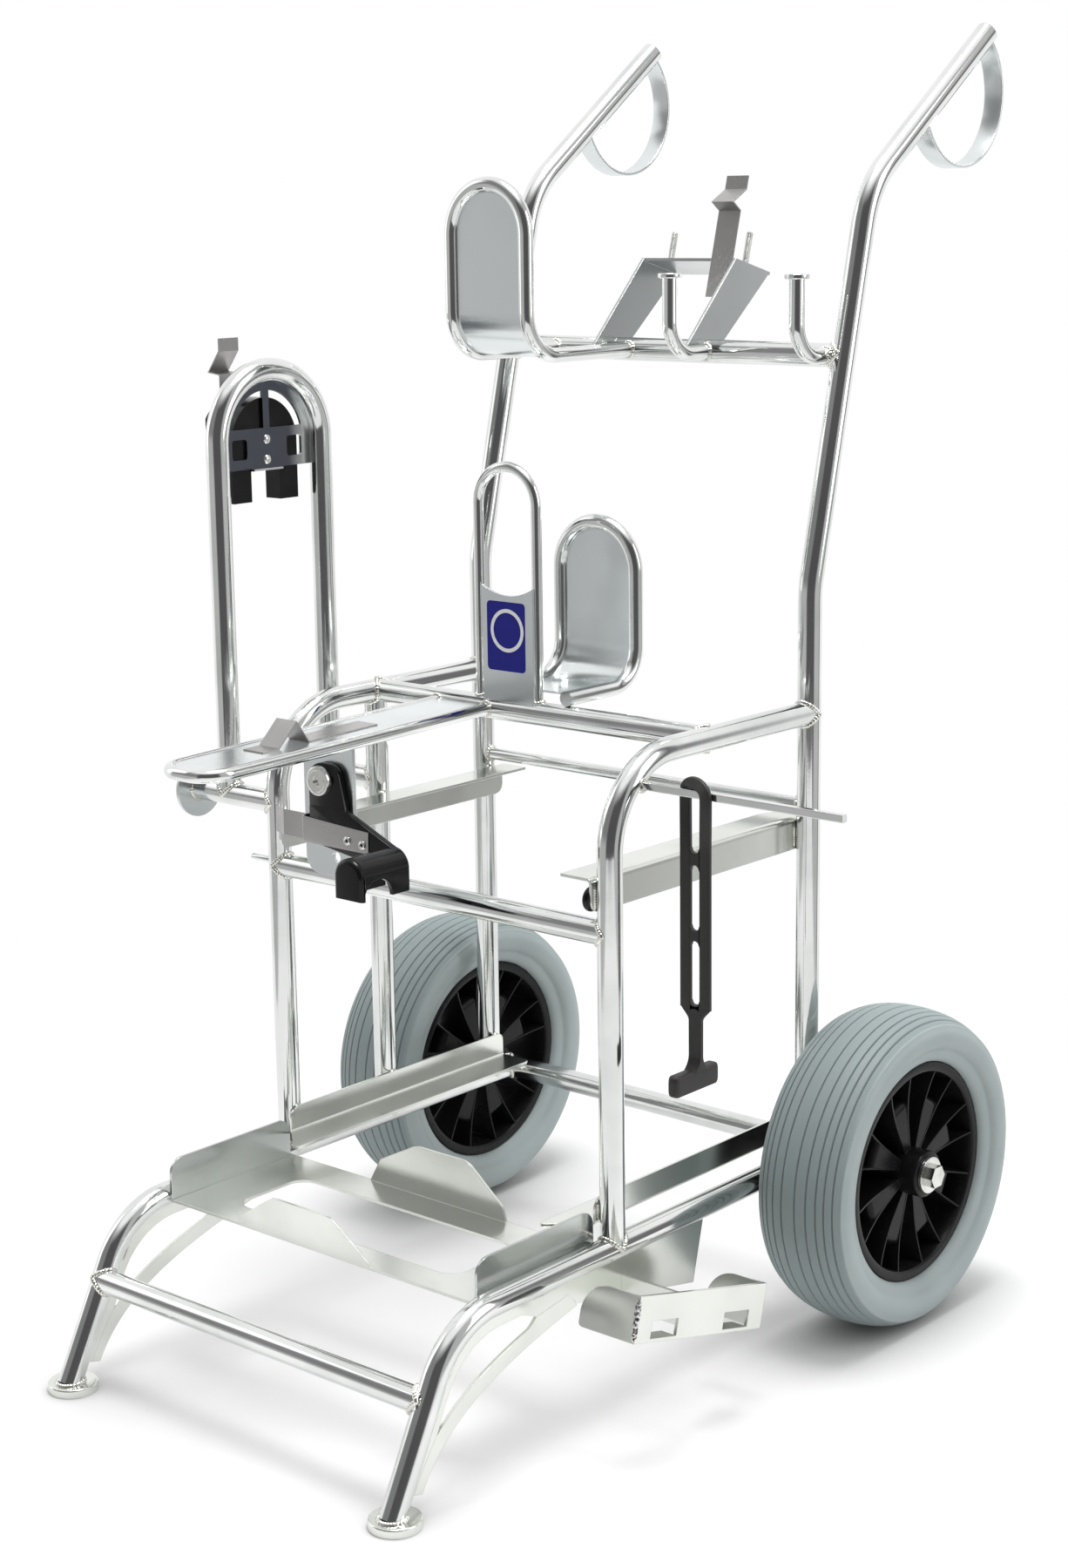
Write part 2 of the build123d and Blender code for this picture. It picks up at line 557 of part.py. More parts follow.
# Tilted bracket with two studs and a clip on the upper cross tube
back = Vector(cos(radians(TILT)), -sin(radians(TILT)))
rise = Vector(sin(radians(TILT)), cos(radians(TILT)))
front_edge = Vector(*BRIDGE_FRONT)
back_edge = front_edge + back * BRIDGE_DEEP
foot_front = (CHEEK_FOOT[0], CHEEK_FOOT[2])
foot_back = (CHEEK_FOOT[1], CHEEK_FOOT[2])
cheek_face = make_face(
    Polyline(foot_front, foot_back, (back_edge.X, back_edge.Y), BRIDGE_FRONT, close=True)
)
bridge_mid = [front_edge - rise * (PLATE_T / 2), back_edge - rise * (PLATE_T / 2)]
bracket = slab_x(strip([(p.X, p.Y) for p in bridge_mid], PLATE_T), *CHEEK_X)
bracket += slab_x(cheek_face, CHEEK_X[0], CHEEK_X[0] + PLATE_T)
bracket += slab_x(cheek_face, CHEEK_X[1] - PLATE_T, CHEEK_X[1])
nodes["upper_bracket"] = bracket - upper_core - hooks[0]
stud_foot = front_edge + back * STUD_BACK
studs = []
for x in STUD_X:
    stud_base = Plane((x, stud_foot.X, stud_foot.Y), x_dir=(1, 0, 0), z_dir=(0, rise.X, rise.Y))
    studs.append(extrude(stud_base * Circle(STUD_R), amount=STUD_LEN))
nodes["upper_studs"] = Compound(children=studs)
clip_foot = front_edge - back * (CLIP_T / 2)
clip_steps = [(-37, 0), (45, 0), (50, -13), (66, 4), (79, 4)]
clip_line = [clip_foot + rise * up + back * out for up, out in clip_steps]
clip_face = strip([(p.X, p.Y) for p in clip_line], CLIP_T)
nodes["upper_clip"] = slab_x(clip_face, UPPER_CLIP_X, UPPER_CLIP_X + CLIP_W)

# Square strap bar on the right front post
bar_face = Pos(*BAR_YZ) * RectangleRounded(BAR_A, BAR_A, 0.8)
nodes["strap_bar"] = slab_x(bar_face, HALF_W + SEAT, BAR_END) - post_core[1]

# Rubber strap threaded on the bar: one band behind it, one in front, an arch between them
strap_y, bar_z = BAR_YZ
eye_z = bar_z + BAR_A / 2 + SIDE_GAP - SLOT_W / 2
half = STRAP_W / 2
band_mid = (half + SLOT_W / 2) / 2
band_box = Rectangle(half - SLOT_W / 2, STRAP_T)
rib_low = SPLIT_Z - 6
rib_step = (eye_z - rib_low) / 8
rise_steps = [(rib_low + rib_step * i, (1 - cos(radians(180 * i / 8))) / 2) for i in range(8)]
ribs = []
for z, shift in rise_steps:
    rib_x = STRAP_X - band_mid - shift * SPREAD
    ribs.append(Plane((rib_x, strap_y + shift * WEAVE, z)) * band_box)
for step in range(9):
    turn = radians(180 * step / 8)
    rib_x = STRAP_X - (band_mid + SPREAD) * cos(turn)
    spot = (rib_x, strap_y + WEAVE * cos(turn), eye_z + band_mid * sin(turn))
    along = Plane(spot, x_dir=(cos(turn), 0, -sin(turn)), z_dir=(sin(turn), 0, cos(turn)))
    ribs.append(along * band_box)
for z, shift in reversed(rise_steps):
    rib_x = STRAP_X + band_mid + shift * SPREAD
    low = Plane((rib_x, strap_y - shift * WEAVE, z), x_dir=(-1, 0, 0), z_dir=(0, 0, -1))
    ribs.append(low * band_box)
strap = loft(ribs, ruled=True)
body = [(-half, SPLIT_Z), (half, SPLIT_Z), (half, SHOULDER_Z)]
body += [(NECK_HALF, NECK_Z[1]), (NECK_HALF, NECK_Z[0])]
body += [(-NECK_HALF, NECK_Z[0]), (-NECK_HALF, NECK_Z[1]), (-half, SHOULDER_Z)]
strap_face = outline(body, [0, 0, 8, 6, 0, 0, 6, 8])
strap_face -= Pos(0, SPLIT_Z) * Circle(SLOT_W / 2)
for slot_top in SLOT_TOPS:
    strap_face -= Pos(0, slot_top - SLOT_LEN / 2) * SlotOverall(SLOT_LEN, SLOT_W, rotation=90)
strap += slab_y(Pos(STRAP_X, 0) * strap_face, strap_y - STRAP_T / 2, strap_y + STRAP_T / 2)
strap -= slab_x(Pos(*BAR_YZ) * Circle(EYE_BORE), STRAP_X - STRAP_W, STRAP_X + STRAP_W)
grip_top = GRIP_C[1] + GRIP_SIZE[1] / 2
flare = [(strap_y - 9, grip_top - 1), (strap_y - 2, grip_top + 10)]
flare += [(strap_y + 2, grip_top + 10), (strap_y + 9, grip_top - 1)]
grip_face = Pos(*GRIP_C) * RectangleRounded(*GRIP_SIZE) + outline(flare)
strap += slab_x(grip_face, STRAP_X - GRIP_HALF, STRAP_X + GRIP_HALF)
nodes["rubber_strap"] = strap

# Low cable holder on the right side
holder_edge = [(-49, 115), (111, 82), (126, 140), (-73, 140), (-73, 138)]
holder_plate = slab_x(outline(holder_edge), HALF_W - PLATE_T / 2, HALF_W + PLATE_T / 2)
nodes["holder_plate"] = holder_plate - rail_core[1]
web_low = HALF_W + PLATE_T / 2
web_mid = Pos((web_low + HOLDER_X) / 2, sum(WEB_Z) / 2)
web_face = web_mid * Rectangle(HOLDER_X - web_low, WEB_Z[1] - WEB_Z[0])
nodes["holder_web"] = slab_y(web_face, *WEB_Y)
front_face = Rectangle(HOLDER_LEN, HOLDER_H)
for u in NOTCH_U:
    front_face -= Pos(u, (NOTCH[1] - HOLDER_H) / 2) * Rectangle(*NOTCH)
holder = slab_x(front_face, HOLDER_X, HOLDER_X + PLATE_T)
tab_z = (PLATE_T - HOLDER_H) / 2
tab_x = HOLDER_X + PLATE_T
tab_face = strip([(tab_x, tab_z), (tab_x - NOTCH_TAB, tab_z)], PLATE_T)
tab_half = NOTCH[0] / 2 + 1
for u in NOTCH_U:
    holder += slab_y(tab_face, u - tab_half, u + tab_half)
wing = [(HOLDER_X + PLATE_T, -HOLDER_H / 2), (HOLDER_X + PLATE_T, HOLDER_H / 2)]
wing += [(HOLDER_X - WING, HOLDER_H / 2), (HOLDER_X - WING, -HOLDER_H / 2)]
wing_face = outline(wing, [0, 0, 28, 4])
holder += slab_y(wing_face, -HOLDER_LEN / 2, PLATE_T - HOLDER_LEN / 2)
holder += slab_y(wing_face, HOLDER_LEN / 2 - PLATE_T, HOLDER_LEN / 2)
nodes["cable_holder"] = Pos(0, *HOLDER_C) * Rot(HOLDER_TILT, 0, 0) * holder

# Wheels: solid tyre, spoked rim, through axle with washers and heads
tyre_side = [TREAD_EDGE, (TYRE_HALF, TYRE_R - 10), SIDE_LOW, (RIM_HALF, RIM_R)]
far_side = [(-x, r) for x, r in reversed(tyre_side)]
tread = ThreePointArc(far_side[-1], (0, TYRE_R), TREAD_EDGE)
tyre_face = make_face(tread + Polyline(*tyre_side, *far_side))
tyre_face = fillet(tyre_face.vertices().filter_by(lambda v: v.Y > RIM_R + 1), 4)
tyre = revolve(tyre_face, Axis.X)
hub_in = WHEEL_X - AXLE_END - SIDE_GAP
bore_r = AXLE_R + RUN_GAP
hub_line = [(-hub_in, bore_r), (HUB_END, bore_r), (HUB_END, HUB_R - 2), (HUB_END - 2, HUB_R)]
hub_line += [(-20, HUB_R), (-30, NECK_R), (-hub_in, NECK_R)]
barrel_line = [(-RIM_HALF, RIM_R - RIM_LIP), (0, RIM_R - RIM_WALL), (RIM_HALF, RIM_R - RIM_LIP)]
barrel_line += [(RIM_HALF, RIM_R), (-RIM_HALF, RIM_R)]
rim = revolve(make_face(Polyline(*hub_line, close=True)), Axis.X)
rim += revolve(make_face(Polyline(*barrel_line, close=True)), Axis.X)
paddle = [(18, -4.5), (66, -10.5), (76, -6), (76, 6), (66, 10.5), (18, 4.5)]
paddle_face = outline(paddle, [0, 3, 3, 3, 3, 0])
rib_face = strip([(18, 0), (70, 0)], 2 * SPOKE_RIB)
for turn in (-1, 1):
    rib_face += strip([(63, turn * 8.6), (RIM_R - 6, turn * 12)], SPOKE_RIB)
spoke = slab_x(rib_face, -SPOKE_HALF, SPOKE_HALF)
spoke += slab_x(paddle_face, SPOKE_HALF - PADDLE_T, SPOKE_HALF)
spoke += slab_x(paddle_face, -SPOKE_HALF, PADDLE_T - SPOKE_HALF)
for i in range(SPOKES):
    rim += Rot(i * 360 / SPOKES, 0, 0) * spoke
rod_end = WHEEL_X + HUB_END + 0.5
nut_low = rod_end + WASHER_T
nut_face = RegularPolygon(NUT_HALF, 6, major_radius=False)
fasteners = []
for s, name in NAMES.items():
    turned = Rot(0, 0, 0) if s > 0 else Rot(0, 0, 180)
    spot = Pos(s * WHEEL_X, AXLE_Y, RAIL_Z) * turned
    nodes[f"{name}_tyre"] = Pos(s * WHEEL_X, AXLE_Y, RAIL_Z) * tyre
    nodes[f"{name}_rim"] = spot * rim
    end = Pos(0, AXLE_Y, RAIL_Z) * turned
    fasteners.append(end * slab_x(Circle(WASHER_R), rod_end, nut_low))
    fasteners.append(end * slab_x(nut_face, nut_low, nut_low + NUT_H))
nodes["axle_rod"] = bar(across_frame((AXLE_Y, RAIL_Z), rod_end), AXLE_R)
nodes["axle_fasteners"] = Compound(children=fasteners)

os.makedirs("parts", exist_ok=True)
to_row = Pos(*ORIGIN).inverse()
for name, shape in nodes.items():
    export_step(to_row * shape, f"parts/{name}.step")
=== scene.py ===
"""Plated workshop trolley: smooth tubes, welds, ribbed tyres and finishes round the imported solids."""
from __future__ import annotations

import json
import logging
import math
from dataclasses import dataclass, replace
from enum import Enum
from typing import Any, Callable, Sequence

import bpy  # noqa: E402
import numpy as np  # noqa: E402
from mathutils import Matrix, Vector  # noqa: E402

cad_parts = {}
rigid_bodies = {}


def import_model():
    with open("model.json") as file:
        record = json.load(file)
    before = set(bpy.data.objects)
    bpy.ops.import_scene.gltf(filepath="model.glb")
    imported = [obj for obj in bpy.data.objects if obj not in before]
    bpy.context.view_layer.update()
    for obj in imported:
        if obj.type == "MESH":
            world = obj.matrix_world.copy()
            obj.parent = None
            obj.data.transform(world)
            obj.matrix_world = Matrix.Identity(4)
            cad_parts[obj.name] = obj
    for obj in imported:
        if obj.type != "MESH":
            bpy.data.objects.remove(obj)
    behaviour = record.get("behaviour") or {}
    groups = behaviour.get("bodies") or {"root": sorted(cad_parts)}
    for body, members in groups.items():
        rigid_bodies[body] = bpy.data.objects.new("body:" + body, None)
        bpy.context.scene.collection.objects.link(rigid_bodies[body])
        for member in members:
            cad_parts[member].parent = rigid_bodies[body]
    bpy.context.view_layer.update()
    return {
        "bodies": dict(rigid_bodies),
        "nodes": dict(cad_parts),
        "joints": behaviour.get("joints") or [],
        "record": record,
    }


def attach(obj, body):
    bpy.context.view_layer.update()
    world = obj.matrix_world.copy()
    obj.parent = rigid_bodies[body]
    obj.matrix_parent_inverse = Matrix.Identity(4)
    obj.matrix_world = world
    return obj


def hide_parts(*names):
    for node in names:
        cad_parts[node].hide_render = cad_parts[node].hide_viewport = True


LOG = logging.getLogger("trolley")
MM = 0.001
Point = Sequence[float]
Colour = tuple[float, float, float]

# Layout shared by the sub-assemblies, in work-frame millimetres; a bar is given by its (y, z)
ORIGIN = np.array([40.0, 141.25, 0.0])
HALF = 200.0
TUBE_R = 11.0
TOP_BAR = (135.0, 576.0)
UPPER_BAR = (335.4, 894.0)
HANDLE_CORNER = (371.0, 1041.0)
GRIP_END = (563.0, 1180.5)
X, Y, Z = (1.0, 0.0, 0.0), (0.0, 1.0, 0.0), (0.0, 0.0, 1.0)
LEFT, AHEAD, DOWN = (-1.0, 0.0, 0.0), (0.0, -1.0, 0.0), (0.0, 0.0, -1.0)
MIRROR = np.array([-1.0, 1.0])
SIDES = ((-1.0, "left"), (1.0, "right"))
# Rough side direction of round sections, along no tube
TUBE_UP = (0.62, 0.48, 0.62)
# What a half-round bend leaves of the straight run to its middle
RUN = 0.1
# Usual bead of a weld, and the angle in degrees over which a fold stays sharp
BEAD = 2.6
FOLD = 30.0


class Body(Enum):
    """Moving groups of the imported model."""

    FRAME = "frame"
    LEFT_WHEEL = "left_wheel"
    RIGHT_WHEEL = "right_wheel"
    HOOK = "hook"
    STRAP = "strap"


class Slot(Enum):
    """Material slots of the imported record."""

    TUBE = "zinc_tube"
    SHEET = "zinc_sheet"
    SPRING = "spring_steel"
    FASTENER = "fastener_steel"
    BLACK = "black_plastic"
    CHARCOAL = "charcoal_plastic"
    RIM = "rim_plastic"
    TYRE = "tyre_rubber"
    STRAP = "strap_rubber"


# Shader graph


def arithmetic(name: str, swapped: bool = False) -> Callable[[Wire, Any], Wire]:
    """Method that adds a Math node for a Wire and another operand, which comes first where swapped."""

    def method(wire: Wire, other: Any) -> Wire:
        """Math node of both operands."""
        pair = (other, wire) if swapped else (wire, other)
        return wire.graph.node("ShaderNodeMath", {"operation": name}, dict(enumerate(pair)))

    return method


class Wire:
    """An output socket that takes arithmetic; every operation adds one Math node."""

    __add__, __radd__ = arithmetic("ADD"), arithmetic("ADD", True)
    __sub__, __rsub__ = arithmetic("SUBTRACT"), arithmetic("SUBTRACT", True)
    __mul__, __rmul__ = arithmetic("MULTIPLY"), arithmetic("MULTIPLY", True)
    __truediv__ = arithmetic("DIVIDE")

    def __init__(self, graph: Graph, socket: Any) -> None:
        """Keep the graph and the socket."""
        self.graph, self.socket = graph, socket

    def root(self) -> Wire:
        """Square root."""
        return self.graph.node("ShaderNodeMath", {"operation": "SQRT"}, {0: self})

    def step(self, low: float, high: float) -> Wire:
        """Smooth step from 0 at low to 1 at high."""
        settings = {"interpolation_type": "SMOOTHSTEP", "clamp": True}
        inputs = {"Value": self, "From Min": low, "From Max": high}
        return self.graph.node("ShaderNodeMapRange", settings, inputs)


class Graph:
    """Node tree of one material or world."""

    def __init__(self, tree: Any) -> None:
        """Start from an empty tree."""
        self.tree = tree
        tree.nodes.clear()

    def node(self, kind: str, settings: dict | None = None, inputs: dict | None = None, out: Any = 0) -> Wire:
        """Add a node.

        Args:
            kind: node type name.
            settings: attributes set before the sockets.
            inputs: socket name or number to a value or Wire.
            out: name or number of the output handed back.

        Returns:
            The chosen output.
        """
        made = self.tree.nodes.new(kind)
        for key, value in (settings or {}).items():
            setattr(made, key, value)
        for key, value in (inputs or {}).items():
            if isinstance(value, Wire):
                self.tree.links.new(value.socket, made.inputs[key])
            else:
                made.inputs[key].default_value = value
        return Wire(self, made.outputs[out] if len(made.outputs) else None)

    def place(self, scale: Point = (1.0, 1.0, 1.0)) -> Wire:
        """Object coordinates, stretched by a Mapping node."""
        coords = self.node("ShaderNodeTexCoord", out="Object")
        return self.node("ShaderNodeMapping", None, {"Vector": coords, "Scale": tuple(scale)})

    def parts(self, vector: Wire | None = None) -> list[Wire]:
        """The three parts of a vector, or of the object coordinates."""
        split = self.node("ShaderNodeSeparateXYZ", None, {0: vector or self.place()}).socket.node
        return [Wire(self, split.outputs[k]) for k in range(3)]

    def noise(self, scale: float, detail: float = 2.0, stretch: Point = (1.0, 1.0, 1.0)) -> Wire:
        """Noise value on Object coordinates."""
        inputs = {"Vector": self.place(stretch), "Scale": scale, "Detail": detail}
        return self.node("ShaderNodeTexNoise", None, inputs, "Fac")

    def blend(self, mask: Wire, low: Colour | Wire, high: Colour) -> Wire:
        """Colour between two by a mask."""
        inputs = {0: mask, 6: low if isinstance(low, Wire) else (*low, 1.0), 7: (*high, 1.0)}
        return self.node("ShaderNodeMix", {"data_type": "RGBA"}, inputs, 2)

    def bump(self, height: Wire, strength: float, distance: float, edge: float = 0.0) -> Wire:
        """Bump normal from a height, over edges rounded by the given radius in metres."""
        inputs = {"Height": height, "Strength": strength, "Distance": distance}
        if edge:
            inputs["Normal"] = self.node("ShaderNodeBevel", {"samples": 4}, {"Radius": edge})
        return self.node("ShaderNodeBump", None, inputs)

    def surface(self, inputs: dict) -> None:
        """Principled shader and material output."""
        shader = self.node("ShaderNodeBsdfPrincipled", None, inputs)
        self.node("ShaderNodeOutputMaterial", None, {"Surface": shader})


def between(ends: Point, share: Wire) -> Wire:
    """Value that runs from the first end to the second."""
    return ends[0] + (ends[1] - ends[0]) * share


@dataclass(frozen=True)
class Finish:
    """A named finish; each kind fills its own graph."""

    name: str
    slot: Slot | None = None

    def fill(self, graph: Graph) -> None:
        """Add the finish's nodes."""
        raise NotImplementedError

    def material(self) -> Any:
        """The Blender material, made once."""
        found = bpy.data.materials.get(self.name)
        if found is None:
            found = bpy.data.materials.new(self.name)
            found.use_nodes = True
            self.fill(Graph(found.node_tree))
        return found


@dataclass(frozen=True)
class PlatedMetal(Finish):
    """Zinc plate: metal with a faint tint that clouds over, and a slightly uneven gloss."""

    tint: Colour = (0.79, 0.80, 0.79)
    cloud: Colour = (0.68, 0.70, 0.685)
    gloss: Point = (0.07, 0.15)
    cloud_scale: float = 14.0
    wave: float = 0.05
    grain: Point = (1.0, 1.0, 1.0)
    grain_scale: float = 420.0
    grain_depth: float = 0.02
    edge: float = 0.0
    cloud_step: Point = (0.35, 0.68)
    swell: Point = (70.0, 1.0)
    relief: Point = (0.35, 0.001)

    def fill(self, graph: Graph) -> None:
        """Mix two tints by cloud noise and roughen by fine noise."""
        clouds = graph.noise(self.cloud_scale, 3.0).step(*self.cloud_step)
        fine = graph.noise(self.grain_scale, 2.0, self.grain)
        height = graph.noise(*self.swell) * self.wave + fine * self.grain_depth
        graph.surface({
            "Base Color": self.tone(graph, clouds),
            "Metallic": 1.0,
            "Roughness": between(self.gloss, 0.6 * clouds + 0.4 * fine),
            "Normal": graph.bump(height, *self.relief, self.edge),
        })

    def tone(self, graph: Graph, clouds: Wire) -> Wire:
        """Colour of the plating."""
        return graph.blend(clouds, self.tint, self.cloud)


@dataclass(frozen=True)
class WallShadedSheet(PlatedMetal):
    """Zinc sheet whose upright side walls get a darker tint than its floor: painted shade."""

    middle: float = -0.04
    half: float = 0.1844
    turn: float = 0.001
    # Painted shade: the darker tint that the side walls take
    wall: Colour = (0.58, 0.605, 0.59)

    def tone(self, graph: Graph, clouds: Wire) -> Wire:
        """Turn to the wall tint, painted shade, where |x - middle| passes the floor's half width."""
        off = graph.parts()[0] - self.middle
        side = (off * off).root().step(self.half, self.half + self.turn)
        return graph.blend(side, super().tone(graph, clouds), self.wall)


@dataclass(frozen=True)
class Plastic(Finish):
    """Moulded plastic: dark base with fine grain and a faint dusting."""

    base: Colour = (0.004, 0.004, 0.0045)
    dust: Colour = (0.008, 0.008, 0.009)
    gloss: Point = (0.15, 0.25)
    grain_scale: float = 900.0
    depth: float = 0.05
    edge: float = 0.0008
    shine: float = 0.3
    cloud: Point = (26.0, 4.0)
    cloud_step: Point = (0.4, 0.75)
    grain_height: float = 0.0006

    def fill(self, graph: Graph) -> None:
        """Grain in the bump, clouds in colour and gloss."""
        clouds = graph.noise(*self.cloud).step(*self.cloud_step)
        grain = graph.noise(self.grain_scale, 2.0)
        graph.surface({
            "Base Color": graph.blend(clouds, self.base, self.dust),
            "Roughness": between(self.gloss, 0.5 * clouds + 0.5 * grain),
            "Specular IOR Level": self.shine,
            "Normal": graph.bump(grain, self.depth, self.grain_height, self.edge),
        })


@dataclass(frozen=True)
class PlateWithPaintedHighlight(Finish):
    """Dark sheet that turns bright towards one side: a painted highlight."""

    dark: Colour = (0.125, 0.135, 0.16)
    # Painted highlight: the tone towards the bright side
    bright: Colour = (0.62, 0.64, 0.64)
    turn: Point = (-0.046, -0.024)
    fray: float = 0.004
    gloss: Point = (0.2, 0.26)
    relief: Point = (0.02, 0.0003, 0.0006)

    def fill(self, graph: Graph) -> None:
        """Blend by the distance along y, broken up a little by noise."""
        along = graph.parts()[1] + self.fray * graph.noise(40.0)
        graph.surface({
            "Base Color": graph.blend(along.step(*self.turn), self.dark, self.bright),
            "Metallic": 1.0,
            "Roughness": between(self.gloss, graph.noise(60.0)),
            "Normal": graph.bump(graph.noise(90.0), *self.relief),
        })


@dataclass(frozen=True)
class Rubber(Finish):
    """Rubber: matte, softly mottled, with a fine pebble."""

    base: Colour = (0.32, 0.37, 0.375)
    pale: Colour = (0.38, 0.43, 0.43)
    rough: Point = (0.5, 0.68)
    # Axle (y, z) in metres, and the radii over which the tread turns to its painted shade
    axle: Point = (0.17775, 0.15)
    tread: Point = ()
    tread_shade: Colour = (0.25, 0.296, 0.3)
    mottle: Point = (11.0, 5.0)
    mottle_step: Point = (0.32, 0.7)
    pebble: Point = (650.0, 3.0)
    relief: Point = (0.12, 0.0007)

    def fill(self, graph: Graph) -> None:
        """Two scales of mottling, a fine bump, and painted shade: a darker tread outside a radius round the
        axle.
        """
        clouds = graph.noise(*self.mottle).step(*self.mottle_step)
        pebble = graph.noise(*self.pebble)
        colour = graph.blend(0.7 * clouds + 0.3 * pebble, self.base, self.pale)
        # Painted shade: darker tone on the tread
        if self.tread:
            _, y, z = graph.parts()
            off, rise = y - self.axle[0], z - self.axle[1]
            colour = graph.blend((off * off + rise * rise).root().step(*self.tread), colour, self.tread_shade)
        graph.surface({
            "Base Color": colour,
            "Roughness": between(self.rough, pebble),
            "Normal": graph.bump(pebble + 0.4 * clouds, *self.relief),
        })


@dataclass(frozen=True)
class RoughSeam(Finish):
    """Raw weld seam: bright metal broken by dark specks of scale."""

    bright: Colour = (0.72, 0.73, 0.71)
    scale: Colour = (0.02, 0.02, 0.02)
    specks: Point = (420.0, 3.0)
    cut: Point = (0.5, 0.56)
    relief: Point = (0.4, 0.0006)

    def fill(self, graph: Graph) -> None:
        """Threshold a noise into specks that are dark, dull and raised."""
        specks = graph.noise(*self.specks).step(*self.cut)
        graph.surface({
            "Base Color": graph.blend(specks, self.bright, self.scale),
            "Metallic": 1.0 - 0.7 * specks,
            "Roughness": 0.22 + 0.3 * specks,
            "Normal": graph.bump(specks, *self.relief),
        })


@dataclass(frozen=True)
class Film(Finish):
    """Printed sticker film with a light orange-peel gloss."""

    colour: Colour = (0.008, 0.009, 0.23)
    edge: Colour = (0.011, 0.012, 0.27)
    peel: Point = (300.0, 2.0)
    shine: float = 0.25
    relief: Point = (0.04, 0.0004)

    def fill(self, graph: Graph) -> None:
        """Nearly even colour with a faint peel in gloss and bump."""
        peel = graph.noise(*self.peel)
        graph.surface({
            "Base Color": graph.blend(peel, self.colour, self.edge),
            "Roughness": 0.28 + 0.1 * peel,
            "Specular IOR Level": self.shine,
            "Normal": graph.bump(peel, *self.relief),
        })


def brushed(name: str, grain: Point) -> PlatedMetal:
    """Fine brushed strip; the grain is drawn out along the axis with the small scale."""
    return PlatedMetal(
        name, Slot.SPRING, (0.43, 0.42, 0.41), (0.36, 0.35, 0.345), (0.24, 0.38), 20.0, 0.02,
        grain, grain_scale=900.0, grain_depth=0.22, edge=0.0004,
    )


SATIN = {"cloud_scale": 9.0, "wave": 0.03, "grain_scale": 800.0, "grain_depth": 0.03, "edge": 0.0009}
TUBE = PlatedMetal("bright_zinc_tube", Slot.TUBE)
BAR = replace(TUBE, name="bright_zinc_bar", edge=0.0008)
SHEET = PlatedMetal(
    "satin_zinc_sheet", Slot.SHEET, (0.77, 0.805, 0.81), (0.68, 0.71, 0.72), (0.18, 0.28), **SATIN,
)
PALE = PlatedMetal(
    "pale_zinc_sheet", Slot.SHEET, (0.77, 0.785, 0.745), (0.69, 0.71, 0.665), (0.17, 0.27), **SATIN,
)
# Tray: its floor's lighter tint is painted light on an upward face, and its walls carry painted shade
TRAY = WallShadedSheet(
    "tray_zinc_sheet", Slot.SHEET, (0.81, 0.825, 0.785), (0.73, 0.75, 0.705), (0.17, 0.27), **SATIN,
)
# Painted shade: a darker copy of the satin sheet for the upper bracket's side plates
SHADED_SHEET = replace(SHEET, name="grey_zinc_sheet", tint=(0.55, 0.57, 0.57), cloud=(0.47, 0.49, 0.49))
WELD = PlatedMetal("weld_bead", Slot.TUBE, (0.78, 0.77, 0.72), (0.62, 0.62, 0.57), (0.16, 0.32), 120.0, 0.3)
FASTENER = PlatedMetal(
    "zinc_fastener", Slot.FASTENER, (0.74, 0.74, 0.71), (0.62, 0.62, 0.6), (0.16, 0.3), 60.0, 0.08,
    edge=0.0006,
)
STRIP_X = brushed("brushed_strip_across", (0.04, 1.0, 1.0))
STRIP_Y = brushed("brushed_strip_lengthways", (1.0, 0.04, 1.0))
STRIP_Z = brushed("brushed_strip_upright", (1.0, 1.0, 0.04))
SEAM = RoughSeam("rough_seam", Slot.TUBE)
# Hoop plate: dark, with a painted highlight towards one side
PLATE = PlateWithPaintedHighlight("burnished_plate", Slot.CHARCOAL)
BLACK = Plastic("black_moulding", Slot.BLACK)
RIM = Plastic(
    "rim_moulding", Slot.RIM, (0.008, 0.008, 0.009), (0.012, 0.012, 0.013), (0.2, 0.34), 500.0, 0.03,
    shine=0.14,
)
# Tyre with painted shade on its tread beyond these radii
TYRE = Rubber("tyre_rubber_grey", Slot.TYRE, tread=(0.137, 0.141))
STRAP = Rubber("strap_rubber_black", Slot.STRAP, (0.012, 0.011, 0.010), (0.022, 0.019, 0.018), (0.42, 0.6))
BLUE = Film("blue_film")
WHITE = Film("white_film", None, (0.88, 0.89, 0.9), (0.93, 0.93, 0.94))

# Surfaces


@dataclass
class Shell:
    """Vertices in work-frame millimetres and faces as lists of indices."""

    points: np.ndarray
    faces: list[list[int]]


def lattice(grid: np.ndarray, closed: bool = False, caps: bool = True) -> Shell:
    """Quads over a grid of points P(i, j); i runs along the piece and j round its section.

    Each quad joins (i, j), (i, j+1), (i+1, j+1) and (i+1, j). Columns wrap, rows wrap where the
    surface closes, and an open end is closed by a fan to the middle of its ring.

    Args:
        grid: array of shape (rows, columns, 3).
        closed: whether rows wrap.
        caps: whether open ends get a fan.

    Returns:
        The shell.
    """
    rows, columns = grid.shape[:2]
    i, j = np.meshgrid(np.arange(rows if closed else rows - 1), np.arange(columns), indexing="ij")
    below, right = (i + 1) % rows, (j + 1) % columns
    corners = [i * columns + j, i * columns + right, below * columns + right, below * columns + j]
    faces = np.stack([c.ravel() for c in corners], axis=1).tolist()
    points = grid.reshape(-1, 3)
    if caps and not closed:
        ring, base = np.arange(columns), (rows - 1) * columns
        after, middle = (ring + 1) % columns, np.full(columns, len(points))
        faces += np.stack([middle, after, ring], axis=1).tolist()
        faces += np.stack([middle + 1, base + ring, base + after], axis=1).tolist()
        points = np.vstack([points, grid[0].mean(axis=0), grid[-1].mean(axis=0)])
    return Shell(points, faces)


